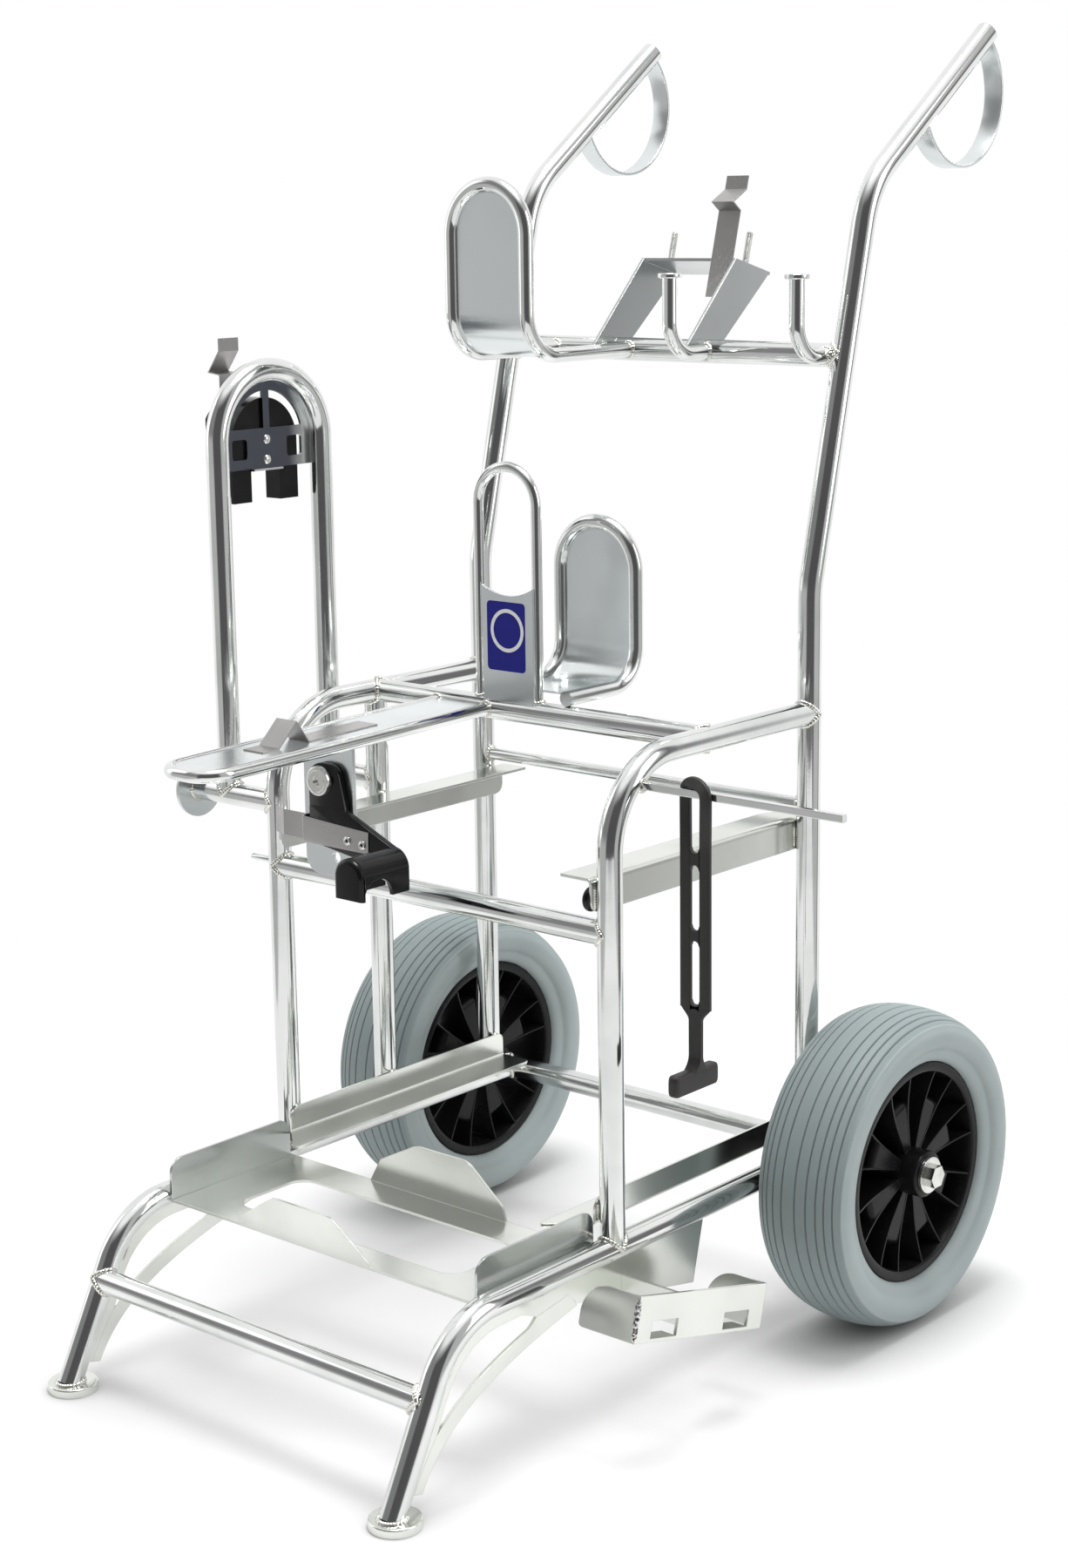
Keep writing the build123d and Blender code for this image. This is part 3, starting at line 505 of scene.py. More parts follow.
def strip_ends(grid: np.ndarray) -> Shell:
    """Tube over a grid whose section is a bent strip, closed at both ends by quads across the strip."""
    shell = lattice(grid, caps=False)
    rows, columns = grid.shape[:2]
    j = np.arange(columns // 2 - 1)
    front = np.stack([j + 1, j, columns - 1 - j, columns - 2 - j], axis=1)
    back = (rows - 1) * columns + front[:, ::-1]
    return Shell(shell.points, shell.faces + np.vstack([front, back]).tolist())


def unit(vectors: Any) -> np.ndarray:
    """Vectors scaled to length 1."""
    return np.asarray(vectors, float) / np.linalg.norm(vectors, axis=-1, keepdims=True)


def layers(flat: np.ndarray, depth: np.ndarray) -> np.ndarray:
    """Grid (x, y, z) from rings (x, z) and the y of each ring or point."""
    return np.stack([flat[..., 0], np.broadcast_to(depth, flat.shape[:2]), flat[..., 1]], axis=2)


def arc_length(path: np.ndarray) -> np.ndarray:
    """Length along a path up to each of its points."""
    return np.concatenate([[0.0], np.cumsum(np.linalg.norm(np.diff(path, axis=0), axis=1))])


def rounded_path(points: Sequence[Point], bends: Point, arc_steps: int = 20) -> np.ndarray:
    """Runs joined by round bends.

    At a corner with unit directions a (in) and b (out) and bend radius R, the arc starts
    R tan(half turn) before the corner and its centre lies on the corner's bisector.

    Args:
        points: corner points.
        bends: one bend radius for each inner corner, from the first one on.
        arc_steps: points on each arc.

    Returns:
        Path points, ends included.
    """
    corners = np.array(points, float)
    pieces = [corners[:1]]
    for k, radius in enumerate(bends, start=1):
        a, b = unit(corners[k] - corners[k - 1]), unit(corners[k + 1] - corners[k])
        half_turn = math.acos(float(np.clip(a @ b, -1, 1))) / 2
        start = corners[k] - a * radius * math.tan(half_turn)
        inward = unit(b - (b @ a) * a)
        angle = np.linspace(0, 2 * half_turn, arc_steps)[:, None]
        pieces.append(start + radius * (np.sin(angle) * a + (1 - np.cos(angle)) * inward))
    return np.vstack([*pieces, corners[-1:]])


def sweep(path: np.ndarray, section: np.ndarray, up: Any, closed: bool = False) -> Shell:
    """Carry a closed section along a path.

    With tangent T, side N = up less its part along T, and B = T x N, the surface is
    P(i, j) = path(i) + section(i, j).u N + section(i, j).v B.

    Args:
        path: (n, 3) points.
        section: (m, 2) outline, or (n, m, 2) where it changes along the path.
        up: rough side direction, for all points or for each, never along the path.
        closed: whether the path closes.

    Returns:
        The shell.
    """
    across = np.roll(path, -1, axis=0) - np.roll(path, 1, axis=0)
    tangent = unit(across if closed else np.gradient(path, axis=0))
    lead = np.broadcast_to(np.asarray(up, float), path.shape)
    side = unit(lead - (lead * tangent).sum(axis=1, keepdims=True) * tangent)
    over = np.cross(tangent, side)
    section = np.broadcast_to(section, (len(path), *section.shape[-2:]))
    grid = path[:, None] + section[..., :1] * side[:, None] + section[..., 1:] * over[:, None]
    return lattice(grid, closed)


def ring_section(radius: float | np.ndarray, segments: int = 40) -> np.ndarray:
    """Circle outline (r cos t, r sin t); an array of radii gives one outline for each path point."""
    turn = np.linspace(0, 2 * np.pi, segments, endpoint=False)
    return np.multiply.outer(radius, np.stack([np.cos(turn), np.sin(turn)], axis=1))


def strip_section(width: float, thickness: float, edge: float, steps: int = 5) -> np.ndarray:
    """Rectangle with rounded edges: four quarter circles of the edge radius."""
    turn = np.linspace(0, np.pi / 2, steps)
    quarter = np.stack([np.cos(turn), np.sin(turn)], axis=1) * edge
    corner = np.array([width / 2 - edge, thickness / 2 - edge]) + quarter
    return np.vstack([corner, corner[::-1] * MIRROR, -corner, corner[::-1] * -MIRROR])


def squircle(half_u: np.ndarray, half_v: float | np.ndarray, power: float, segments: int = 40) -> np.ndarray:
    """Soft rectangles: u = half_u sign(cos t) |cos t|^power, v = half_v sign(sin t) |sin t|^power."""
    turn = np.linspace(0, 2 * np.pi, segments, endpoint=False) + np.pi / segments
    bow = [np.sign(f(turn)) * np.abs(f(turn)) ** power for f in (np.cos, np.sin)]
    halves = np.broadcast_arrays(half_u, half_v)
    return np.stack([np.multiply.outer(h, b) for h, b in zip(halves, bow)], axis=-1)


def corner_cut(distance: np.ndarray, radius: float) -> np.ndarray:
    """Set-back of a round corner at distance d from the edge: radius - sqrt(radius^2 - (radius - d)^2)."""
    short = np.clip(radius - distance, 0, radius)
    return radius - np.sqrt(radius ** 2 - short ** 2)


def tube_shell(points: Sequence[Point], bends: Point, radius: float) -> Shell:
    """Round tube: a circle carried along a bent path."""
    return sweep(rounded_path(points, bends), ring_section(radius), TUBE_UP)


def about(axis: np.ndarray, lead: np.ndarray, segments: int) -> np.ndarray:
    """Unit vectors cos t e1 + sin t e2 round an axis; e1 is the lead less its part along the axis."""
    e1 = unit(lead - (lead @ axis) * axis)
    turn = np.linspace(0, 2 * np.pi, segments, endpoint=False)[:, None]
    return np.cos(turn) * e1 + np.sin(turn) * np.cross(axis, e1)


def lathe(profile: Any, centre: Point, segments: int, axis: Point = X) -> Shell:
    """Closed outline (a, r) turned about an axis: P = centre + a axis + r (cos t e1 + sin t e2).

    Args:
        profile: outline that runs along the axis on its outer side.
        centre: point on the axis.
        segments: steps round the axis.
        axis: axis direction.

    Returns:
        The shell.
    """
    a = unit(axis)
    line = np.array(profile)[None, ::-1]
    grid = line[..., :1] * a + line[..., 1:] * about(a, np.roll(a, 1), segments)[:, None]
    return lattice(grid + np.array(centre), True)


def turned(foot: Point, axis: Point, along: np.ndarray, sections: np.ndarray) -> Shell:
    """Sections carried along a straight axis from its foot."""
    a = unit(axis)
    return sweep(np.array(foot) + np.outer(along, a), sections, np.roll(a, 1))


def dome(centre: Point, axis: Point, radius: float, height: float, tip: float = 0.02) -> Shell:
    """Button head: a quarter ellipse turned about an axis, closed by a flat foot and a tiny tip."""
    turn = np.linspace(tip, np.pi / 2, 9)
    return turned(centre, axis, height * np.sin(turn), ring_section(radius * np.cos(turn) + tip, 28))


def puck(foot: Point, axis: Point, radius: float, height: float, edge: float) -> Shell:
    """Disc with rounded rims: along the axis the radius is radius - edge + edge sin t at both ends."""
    turn = np.linspace(0, np.pi / 2, 6)
    rim = edge * (1 - np.cos(turn))
    radii = radius - edge + edge * np.concatenate([np.sin(turn), np.sin(turn[::-1])])
    return turned(foot, axis, np.concatenate([rim, height - rim[::-1]]), ring_section(radii))


def thread(foot: Point, axis: Point, radius: float, length: float, pitch: float) -> Shell:
    """Threaded rod: r(s, t) = radius - depth (1 - cos(2 pi s / pitch - t)) / 2, its free end bevelled."""
    s = np.linspace(0, length, 1 + round(10 * length / pitch))
    turn = np.linspace(0, 2 * np.pi, 24, endpoint=False)
    depth = 0.55 * pitch
    radii = radius - depth * (1 - np.cos(2 * np.pi * s[:, None] / pitch - turn)) / 2
    radii = radii * np.clip(0.75 + 0.25 * (length - s[:, None]) / pitch, 0, 1)
    return turned(foot, axis, s, radii[..., None] * np.stack([np.cos(turn), np.sin(turn)], axis=1))


def rivet(centre: Point, axis: Point, radius: float, hole: float, height: float, sunk: float) -> Shell:
    """Hollow rivet head: a half ellipse between hole and rim on a sunk foot, turned about an axis."""
    turn = np.linspace(0, np.pi, 12)
    middle, half = (radius + hole) / 2, (radius - hole) / 2
    arc = np.stack([height * np.sin(turn), middle - half * np.cos(turn)], axis=1)
    foot = np.array([[-sunk, radius], [-sunk, hole]])
    return lathe(np.vstack([arc, foot])[::-1], centre, 28, axis)


def folded(line: np.ndarray, thickness: float, low: np.ndarray, high: np.ndarray) -> Shell:
    """Sheet folded along y.

    The middle line M(s) = (x, z) is set off by half the thickness along its normal n(s) to
    either side; P(t, s) = (M(s) +- n(s) thickness / 2, low(s) + t (high(s) - low(s))).

    Args:
        line: (n, 2) middle line in (x, z).
        thickness: sheet thickness.
        low: front end y at each point of the line.
        high: rear end y at each point of the line.

    Returns:
        The shell, closed at both ends by a strip.
    """
    tangent = unit(np.gradient(line, axis=0))
    normal = np.stack([-tangent[:, 1], tangent[:, 0]], axis=1) * thickness / 2
    section = np.vstack([line + normal, (line - normal)[::-1]])
    front, rear = (np.concatenate([y, y[::-1]]) for y in (low, high))
    along = front + np.linspace(0, 1, 9)[:, None] * (rear - front)
    return strip_ends(layers(np.broadcast_to(section, (*along.shape, 2)), along))


def cushion(outline: np.ndarray, levels: Sequence[Point]) -> Shell:
    """Upright plate with softened edges.

    Ring k is the outline (x, z), set in along its own normal by the inset of level k, at that
    level's y; the levels run from the back to the front.

    Args:
        outline: (n, 2) points, turned from x towards z.
        levels: pairs of y and inset.

    Returns:
        The shell.
    """
    along = unit(np.roll(outline, -1, axis=0) - np.roll(outline, 1, axis=0))
    y, inset = np.array(levels).T
    flat = outline + inset[:, None, None] * np.stack([-along[:, 1], along[:, 0]], axis=1)
    return lattice(layers(flat, y[:, None]))


def bead_along(path: np.ndarray, lead: Any, size: float, closed: bool = True, pitch: float = 2.4) -> Shell:
    """Weld bead: a circle carried along a seam, its radius rippling with arc length.

    r(s) = size (0.92 + 0.10 cos(2 pi s / pitch)); an open bead also tapers at its ends.

    Args:
        path: seam points.
        lead: side direction, for all points or for each.
        size: bead radius.
        closed: whether the seam closes.
        pitch: ripple length.

    Returns:
        The shell.
    """
    arc = arc_length(path)
    total = arc[-1] + (np.linalg.norm(path[0] - path[-1]) if closed else 0.0)
    waves = max(1, round(total / pitch))
    radius = size * (0.92 + 0.10 * np.cos(2 * np.pi * waves * arc / total))
    if not closed:
        radius = radius * np.sqrt(np.clip(1 - np.abs(2 * arc / total - 1) ** 6, 0.05, 1))
    return sweep(path, ring_section(radius, 10), lead, closed)


def bead_on_tube(foot: Point, branch: Point, radius: float, main: Point, size: float) -> Shell:
    """Weld where a round branch meets a frame tube.

    The seam point at angle t is foot + radius (cos t e1 + sin t e2) + h branch, where h is
    the larger root of |part across main|^2 = TUBE_R^2.

    Args:
        foot: point where the branch axis meets the main axis.
        branch: direction of the branch, away from the tube.
        radius: branch radius.
        main: direction of the tube's axis.
        size: bead radius.

    Returns:
        The shell.
    """
    a, m = unit(branch), unit(main)
    outward = about(a, m, 120)
    ring = outward * radius
    ring_across = ring - (ring @ m)[:, None] * m
    branch_across = a - (a @ m) * m
    p, q = (branch_across ** 2).sum(), ring_across @ branch_across
    rest = (ring_across ** 2).sum(axis=1) - TUBE_R ** 2
    height = (-q + np.sqrt(np.clip(q ** 2 - p * rest, 0, None))) / p
    return bead_along(np.array(foot) + ring + height[:, None] * a, outward, size)


def bead_on_plane(foot: Point, branch: Point, normal: Point, size: float) -> Shell:
    """Weld where a frame tube meets a flat face: the tube's circle slid along its axis to the plane."""
    a, n = unit(branch), unit(normal)
    outward = about(a, np.cross(a, (1.0, 0.3, 0.2)), 90)
    ring = outward * TUBE_R
    height = -(ring @ n) / (a @ n)
    return bead_along(np.array(foot) + ring + height[:, None] * a, outward, size)


def bead_line(ends: Sequence[Point], size: float) -> Shell:
    """Straight open weld between two points."""
    return bead_along(np.linspace(*np.array(ends, float), 25), TUBE_UP, size, False)


def make_piece(
    name: str, shells: Sequence[Shell], finish: Finish, replaces: Sequence[str] = (), sharp: float = 40.0,
    body: Body = Body.FRAME,
) -> None:
    """Join shells into one mesh object in the row frame and hang it on a body.

    Args:
        name: piece name.
        shells: surfaces in work-frame millimetres.
        finish: its finish.
        replaces: CAD nodes it stands for.
        sharp: edges over this angle in degrees stay sharp.
        body: the body it moves with.
    """
    starts = np.cumsum([0] + [len(s.points) for s in shells]).tolist()
    points = (np.vstack([s.points for s in shells]) - ORIGIN) * MM
    faces = [tuple(v + start for v in face) for s, start in zip(shells, starts) for face in s.faces]
    mesh = bpy.data.meshes.new(name)
    mesh.from_pydata(points.tolist(), [], faces)
    mesh.validate()
    mesh.update()
    mesh.shade_smooth()
    mesh.set_sharp_from_angle(angle=math.radians(sharp))
    piece = bpy.data.objects.new(name, mesh)
    bpy.context.scene.collection.objects.link(piece)
    mesh.materials.append(finish.material())
    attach(piece, body.value)
    if replaces:
        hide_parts(*replaces)
    LOG.info("%s: %d faces", name, len(faces))


# Sub-assemblies


@dataclass
class Assembly:
    """A sub-assembly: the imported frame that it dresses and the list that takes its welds."""

    frame: dict
    welds: list[Shell]

    def build(self) -> None:
        """Make the pieces and dress the solids."""
        raise NotImplementedError

    def tube(self, node: str, points: Sequence[Point], bends: Point = (), radius: float = TUBE_R) -> None:
        """One smooth tube in place of a node."""
        make_piece(f"{node}_smooth", [tube_shell(points, bends, radius)], TUBE, [node])

    def weld(
        self, foot: Point, branch: Point, main: Point, radius: float = TUBE_R, size: float = BEAD
    ) -> None:
        """One weld round a branch on a frame tube."""
        self.welds.append(bead_on_tube(foot, branch, radius, main, size))

    def dress(self, finish: Finish, *nodes: str) -> None:
        """Give CAD nodes a finish in place of their packed one."""
        for node in nodes:
            mesh = self.frame["nodes"][node].data
            mesh.materials.clear()
            mesh.materials.append(finish.material())


@dataclass
class TubeFrame(Assembly):
    """Welded main frame of round tube."""

    rail_z: float = 150.0
    axle_y: float = 319.0
    axle_end: float = 215.0
    leg_top: float = -205.5
    leg_lean: float = 27.2
    leg_end: float = 6.0
    foot_top: float = 8.0
    rear_y: float = 286.0
    # Kink, bars and rod as (y, z)
    kink: Point = (286.0, 690.0)
    bend: float = 80.0
    handle_bends: Point = (100.0, 90.0)
    mid_bar: Point = (0.0, 430.0)
    foot_bar: Point = (-238.0, 92.0)
    rod: Point = (286.0, 490.0)
    rod_radius: float = 6.0
    mid_post_y: float = 132.5

    def leg_spot(self, x: float, z: float) -> Point:
        """Point of the leg's centre line at a height."""
        return x, self.leg_top - (self.rail_z - z) * math.tan(math.radians(self.leg_lean)), z

    def build(self) -> None:
        """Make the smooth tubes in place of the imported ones, and collect their welds."""
        for side, word in SIDES:
            self._side(side * HALF, word)
        for node, spot, end, radius in (
            ("top_cross_tube", TOP_BAR, HALF, TUBE_R),
            ("mid_cross_tube", self.mid_bar, HALF, TUBE_R),
            ("upper_cross_tube", UPPER_BAR, HALF, TUBE_R),
            ("front_foot_bar", self.foot_bar, HALF, TUBE_R),
            ("rear_cross_rod", self.rod, HALF, self.rod_radius),
            ("axle_tube", (self.axle_y, self.rail_z), self.axle_end, TUBE_R),
        ):
            self.tube(node, [(-end, *spot), (end, *spot)], radius=radius)
        low, high = ((-HALF, self.mid_post_y, z) for z in (self.rail_z, TOP_BAR[1]))
        self.tube("left_mid_post", [low, high])
        self.weld(low, Z, Y)
        self.weld(high, DOWN, Y)

    def _side(self, x: float, word: str) -> None:
        """Rail, post and handle of one side, with their welds."""
        low, top = self.rail_z, TOP_BAR[1]
        rail = [self.leg_spot(x, self.leg_end), (x, self.leg_top, low), (x, self.axle_y, low)]
        post = [(x, 0, low), (x, 0, top), (x, self.rear_y, top)]
        handle = [(x, self.rear_y, low), (x, *self.kink), (x, *HANDLE_CORNER), (x, *GRIP_END)]
        self.tube(f"{word}_side_rail", rail, [self.bend])
        self.tube(f"{word}_front_post", post, [self.bend])
        self.tube(f"{word}_handle_tube", handle, self.handle_bends)
        inward = (-math.copysign(1, x), 0, 0)
        lean = math.radians(self.leg_lean)
        leg = (0, math.sin(lean), math.cos(lean))
        for foot, branch, main, radius in (
            (post[0], Z, Y, TUBE_R),
            (handle[0], Z, Y, TUBE_R),
            (post[2], AHEAD, Z, TUBE_R),
            (rail[2], AHEAD, X, TUBE_R),
            ((x, *TOP_BAR), inward, Y, TUBE_R),
            ((x, *self.mid_bar), inward, Z, TUBE_R),
            ((x, *self.rod), inward, Z, self.rod_radius),
            ((x, *UPPER_BAR), inward, (0, *np.subtract(HANDLE_CORNER, self.kink)), TUBE_R),
            ((x, *self.foot_bar), inward, leg, TUBE_R),
        ):
            self.weld(foot, branch, main, radius)
        self.welds.append(bead_on_plane(self.leg_spot(x, self.foot_top), leg, Z, BEAD))


@dataclass
class Handles(Assembly):
    """Round guard strips under the grips and the domed tube ends."""

    centre: Point = (512.5, 1125.5)
    radius: float = 66.5
    # Width, thickness and edge radius
    strip: Point = (20.0, 3.0, 0.9)
    plug: float = 5.0

    def guard_line(self) -> np.ndarray:
        """Guard line (y, z): the circle's part under the grip's axis.

        The axis passes the circle's centre at a gap g, so the arc's ends lie at
        g over +- sqrt(radius^2 - g^2) along.

        Returns:
            Points from the tube's end round to its lower side.
        """
        middle, end = np.array(self.centre), np.array(GRIP_END)
        along = unit(end - np.array(HANDLE_CORNER))
        over = np.array([-along[1], along[0]])
        gap = float((end - middle) @ over)
        reach = math.sqrt(self.radius ** 2 - gap ** 2)
        angles = [math.atan2(*(gap * over + side * reach * along)[::-1]) for side in (1, -1)]
        turn = np.linspace(*angles, 72)[:, None]
        return middle + self.radius * np.hstack([np.cos(turn), np.sin(turn)])

    def build(self) -> None:
        """Make both guard strips and the domed ends."""
        line = self.guard_line()
        section = strip_section(*self.strip)
        along = (0.0, *np.subtract(GRIP_END, HANDLE_CORNER))
        domes = []
        for side, word in SIDES:
            guard = sweep(np.column_stack([np.full(len(line), side * HALF), line]), section, X)
            make_piece(f"{word}_hand_guard_smooth", [guard], SHEET, [f"{word}_hand_guard"])
            domes.append(dome((side * HALF, *GRIP_END), along, TUBE_R, self.plug))
        make_piece("handle_ends_smooth", domes, TUBE, ["handle_plugs"])


@dataclass
class CableRests(Assembly):
    """Bent tube loops that carry cables, with their sheets, the lifting eye and its sticker."""

    radius: float = 7.0
    # Loops: middle x, back y, foot z, top z and half width
    rear: Point = (-3.0, 232.0, 594.0, 742.0, 45.0)
    rear_bend: float = 35.0
    rear_root: float = 131.0
    upper: Point = (-86.5, 180.0, 894.0, 1049.0, 45.5)
    upper_bend: float = 40.0
    tongue_x: Point = (-112.0, -50.0)
    tongue_front: float = -219.0
    tongue_corner: float = 24.0
    tongue_radius: float = 6.0
    tongue_drop: float = 1.28
    eye_x: Point = (-64.0, 6.0)
    eye_top: float = 799.0
    eye_radius: float = 4.8
    bead: float = 2.2
    eye_bead: float = 2.0
    plate_front: float = 127.2
    # Sticker: middle (x, z); width, height, corner radius and its steps
    label: Point = (-25.4, 645.0)
    label_size: Point = (46.0, 64.0, 4.0, 6)
    label_depth: float = 0.25
    # Ring on it: middle (x, z); outer radius, band and rise
    ring: Point = (-24.0, 650.6)
    ring_size: Point = (20.0, 3.5, 0.4)

    def loop(self, node: str, place: Point, bend: float, root: float) -> None:
        """One rest loop in place of a node: legs from the root back to y, then up to an arch."""
        mid, y, z, top, half = place
        leg = [(root, z), (y, z), (y, top)]
        points = [(mid - half, *p) for p in leg] + [(mid + half, *p) for p in leg[::-1]]
        self.tube(node, points, [bend, half - RUN, half - RUN, bend], self.radius)

    def build(self) -> None:
        """Make the loops, the tongue's tube and the lifting rod, and dress the sheets."""
        self.loop("rear_rest_tube", self.rear, self.rear_bend, self.rear_root)
        self.loop("upper_rest_tube", self.upper, self.upper_bend, UPPER_BAR[0])
        y, z = TOP_BAR
        fall = math.tan(math.radians(self.tongue_drop))
        front = (self.tongue_front, z + (self.tongue_front - y) * fall)
        left, right = self.tongue_x
        tongue = [(left, y, z), (left, *front), (right, *front), (right, y, z)]
        self.tube("tongue_tube", tongue, [self.tongue_corner] * 2, self.tongue_radius)
        left, right = self.eye_x
        eye = [(left, y, z), (left, y, self.eye_top), (right, y, self.eye_top), (right, y, z)]
        self.tube("lifting_loop", eye, [(right - left) / 2 - RUN] * 2, self.eye_radius)
        for x in self.tongue_x:
            self.weld((x, y, z), AHEAD, X, self.tongue_radius, self.bead)
        for x in self.eye_x:
            self.weld((x, y, z), Z, X, self.eye_radius, self.eye_bead)
        for side, _ in SIDES:
            self.weld((self.upper[0] + side * self.upper[4], *UPPER_BAR), AHEAD, X, self.radius, self.bead)
        self.dress(SHEET, "rear_rest_sheet", "upper_rest_sheet", "tongue_sheet", "lifting_plate")
        self.dress(STRIP_Y, "tongue_spring")
        self._label()

    def _label(self) -> None:
        """Blue sticker with a white ring on the lifting plate."""
        levels = [(self.plate_front, 0.0), (self.plate_front - self.label_depth, 0.0)]
        sticker = strip_section(*self.label_size) + np.array(self.label)
        make_piece("blue_sticker", [cushion(sticker, levels)], BLUE)
        outer, band, rise = self.ring_size
        outline = [(0.0, outer), (rise, outer), (rise, outer - band), (0.0, outer - band)]
        x, z = self.ring
        make_piece("sticker_ring", [lathe(outline, (x, self.plate_front, z), 64, AHEAD)], WHITE)


@dataclass
class Carriers(Assembly):
    """Angle rails, tray and gussets of plated sheet."""

    outer: float = 189.0
    sheet: float = 2.5
    bend: float = 3.6
    shelf_in: float = 155.0
    shelf_y: Point = (-11.0, 298.0)
    # Levels of flange and free edge; radii of the flange's and the web's corners
    shelf_z: Point = (476.75, 448.0)
    shelf_round: Point = (30.0, 10.0)
    cradle_in: float = 150.0
    cradle_y: Point = (-9.0, 292.0)
    cradle_z: Point = (170.75, 195.0)
    cradle_tip: float = 34.0
    # Radii of the inner, front and rear corners
    cradle_round: Point = (6.0, 12.0, 8.0)
    bumper: Point = (186.5, -3.8, 459.0)
    # Radius, height and edge
    bumper_size: Point = (11.0, 6.0, 2.6)
    posts: Point = (0.0, 286.0)
    # Ends in z; a bead is its offset and radius
    rail_seams: tuple[Point, ...] = ((450.0, 473.0), (174.0, 191.0))
    rail_bead: Point = (6.5, 1.7)
    holder_edge: tuple[Point, ...] = ((289.6, -83.6, 115.9), (289.6, -74.1, 152.7))
    holder_bead: float = 2.8
    tube_line: tuple[Point, ...] = ((-74.0, 150.0), (-205.5, 150.0), (-271.0, 23.0))
    tube_bend: float = 80.0
    free_edge: tuple[Point, ...] = ((-50.0, 114.0), (-140.0, 94.0), (-213.0, 73.0), (-245.0, 16.0))
    gusset_widths: Point = (24.0, 14.0)
    # Where the window ends in y, and over what length it rounds off
    window_end: Point = (-108.0, 12.0)
    plate: float = 2.8
    gusset_seams: tuple[tuple[Point, Point], ...] = (
        ((-112.0, 139.2), (-76.0, 139.2)), ((-200.0, 128.0), (-214.0, 103.0)),
    )
    gusset_bead: Point = (2.4, 1.8)

    def gusset(self, side: float) -> list[Shell]:
        """Curved plate behind a leg: a band along the tube and a strip along the free edge.

        A(t) is the tube's axis by arc length and L(t) a cubic Bezier curve. The ruling from A to L,
        of length D, carries the band over its first part and the strip over its last; the crescent
        window between them has the width max(0, D - band - strip), drawn in at its upper end.

        Args:
            side: -1 for the left leg, 1 for the right.

        Returns:
            Band and strip.
        """
        axis = rounded_path([(side * HALF, *p) for p in self.tube_line], [self.tube_bend], 40)
        arc = arc_length(axis)
        t = np.linspace(0, 1, 90)
        tube = np.stack([np.interp(t * arc[-1], arc, axis[:, k]) for k in range(3)], axis=1)
        a, b, c, d = (np.array([side * HALF, *p]) for p in self.free_edge)
        t = t[:, None]
        free = (1 - t) ** 3 * a + 3 * t * (1 - t) ** 2 * b + 3 * t ** 2 * (1 - t) * c + t ** 3 * d
        length = np.linalg.norm(free - tube, axis=1, keepdims=True)
        along = (free - tube) / length
        band, strip = self.gusset_widths
        end, rounding = self.window_end
        fade = np.sqrt(np.clip((end - (tube + free)[:, 1:2] / 2) / rounding, 0, 1))
        solid = (length - np.clip(length - band - strip, 0, None) * fade) * along
        share = band / (band + strip)
        lift = np.array([self.plate / 2, 0.0, 0.0])
        faces = ((tube, tube + share * solid), (free - (1 - share) * solid, free))
        return [lattice(np.stack([a - lift, b - lift, b + lift, a + lift], axis=1)) for a, b in faces]

    def rail_line(self, inner: float, levels: Point) -> np.ndarray:
        """Middle line (x, z) of an angle: flange from its inner edge, round bend, web to its free edge."""
        side = self.outer - self.sheet / 2
        up = math.copysign(1.0, levels[1] - levels[0])
        turn = np.linspace(0, np.pi / 2, 8)
        flange = np.linspace(inner, side - self.bend, 30)[:-1]
        web = np.linspace(levels[0] + up * self.bend, levels[1], 24)[1:]
        x = np.concatenate([flange, side - self.bend + self.bend * np.sin(turn), np.full(len(web), side)])
        bent = levels[0] + up * self.bend * (1 - np.cos(turn))
        return np.column_stack([x, np.concatenate([np.full(len(flange), levels[0]), bent, web])])

    def build(self) -> None:
        """Make the folded rails, the gussets and the rubber bumper, and dress the other sheets."""
        line = self.rail_line(self.shelf_in, self.shelf_z)
        edge, foot = line[:, 0] - self.shelf_in, line[:, 1] - self.shelf_z[1]
        front, rear = self.shelf_y
        wide, small = self.shelf_round
        low = front + corner_cut(foot, small)
        high = rear - np.maximum(corner_cut(edge, wide), corner_cut(foot, small))
        self._rail("right_shelf_rail", line, low, high)
        self._rail("left_shelf_rail", line * MIRROR, front + rear - high, front + rear - low)
        line = self.rail_line(self.cradle_in, self.cradle_z)
        edge, top = line[:, 0] - self.cradle_in, self.cradle_z[1] - line[:, 1]
        front, rear = self.cradle_y
        inner, before, behind = self.cradle_round
        slant = self.cradle_tip * (self.outer - line[:, 0]) / (self.outer - self.cradle_in)
        low = front - slant + np.maximum(corner_cut(edge, inner), corner_cut(top, before))
        high = rear - np.maximum(corner_cut(edge, inner), corner_cut(top, behind))
        self._rail("right_cradle_rail", line, low, high)
        self._rail("left_cradle_rail", line * MIRROR, low, high)
        make_piece("rail_bumper", [puck(self.bumper, LEFT, *self.bumper_size)], BLACK)
        self.dress(TRAY, "front_tray")
        self.dress(PALE, "foot_discs", "holder_plate", "holder_web", "cable_holder")
        for side, word in SIDES:
            self._seams(side)
            make_piece(f"{word}_gusset_cut", self.gusset(side), PALE, [f"{word}_leg_gusset"])
        make_piece("holder_seam", [bead_line(self.holder_edge, self.holder_bead)], SEAM)

    def _rail(self, node: str, line: np.ndarray, low: np.ndarray, high: np.ndarray) -> None:
        """One folded rail in place of a node."""
        make_piece(f"{node}_folded", [folded(line, self.sheet, low, high)], PALE, [node], FOLD)

    def _seams(self, side: float) -> None:
        """Short welds of rails on posts and of the gusset on the leg."""
        x = side * self.outer
        step, size = self.rail_bead
        for y in (post + way * step for post in self.posts for way, _ in SIDES):
            self.welds += [bead_line([(x, y, z) for z in levels], size) for levels in self.rail_seams]
        step, size = self.gusset_bead
        for x in (side * HALF - step, side * HALF + step):
            self.welds += [bead_line([(x, *p) for p in seam], size) for seam in self.gusset_seams]


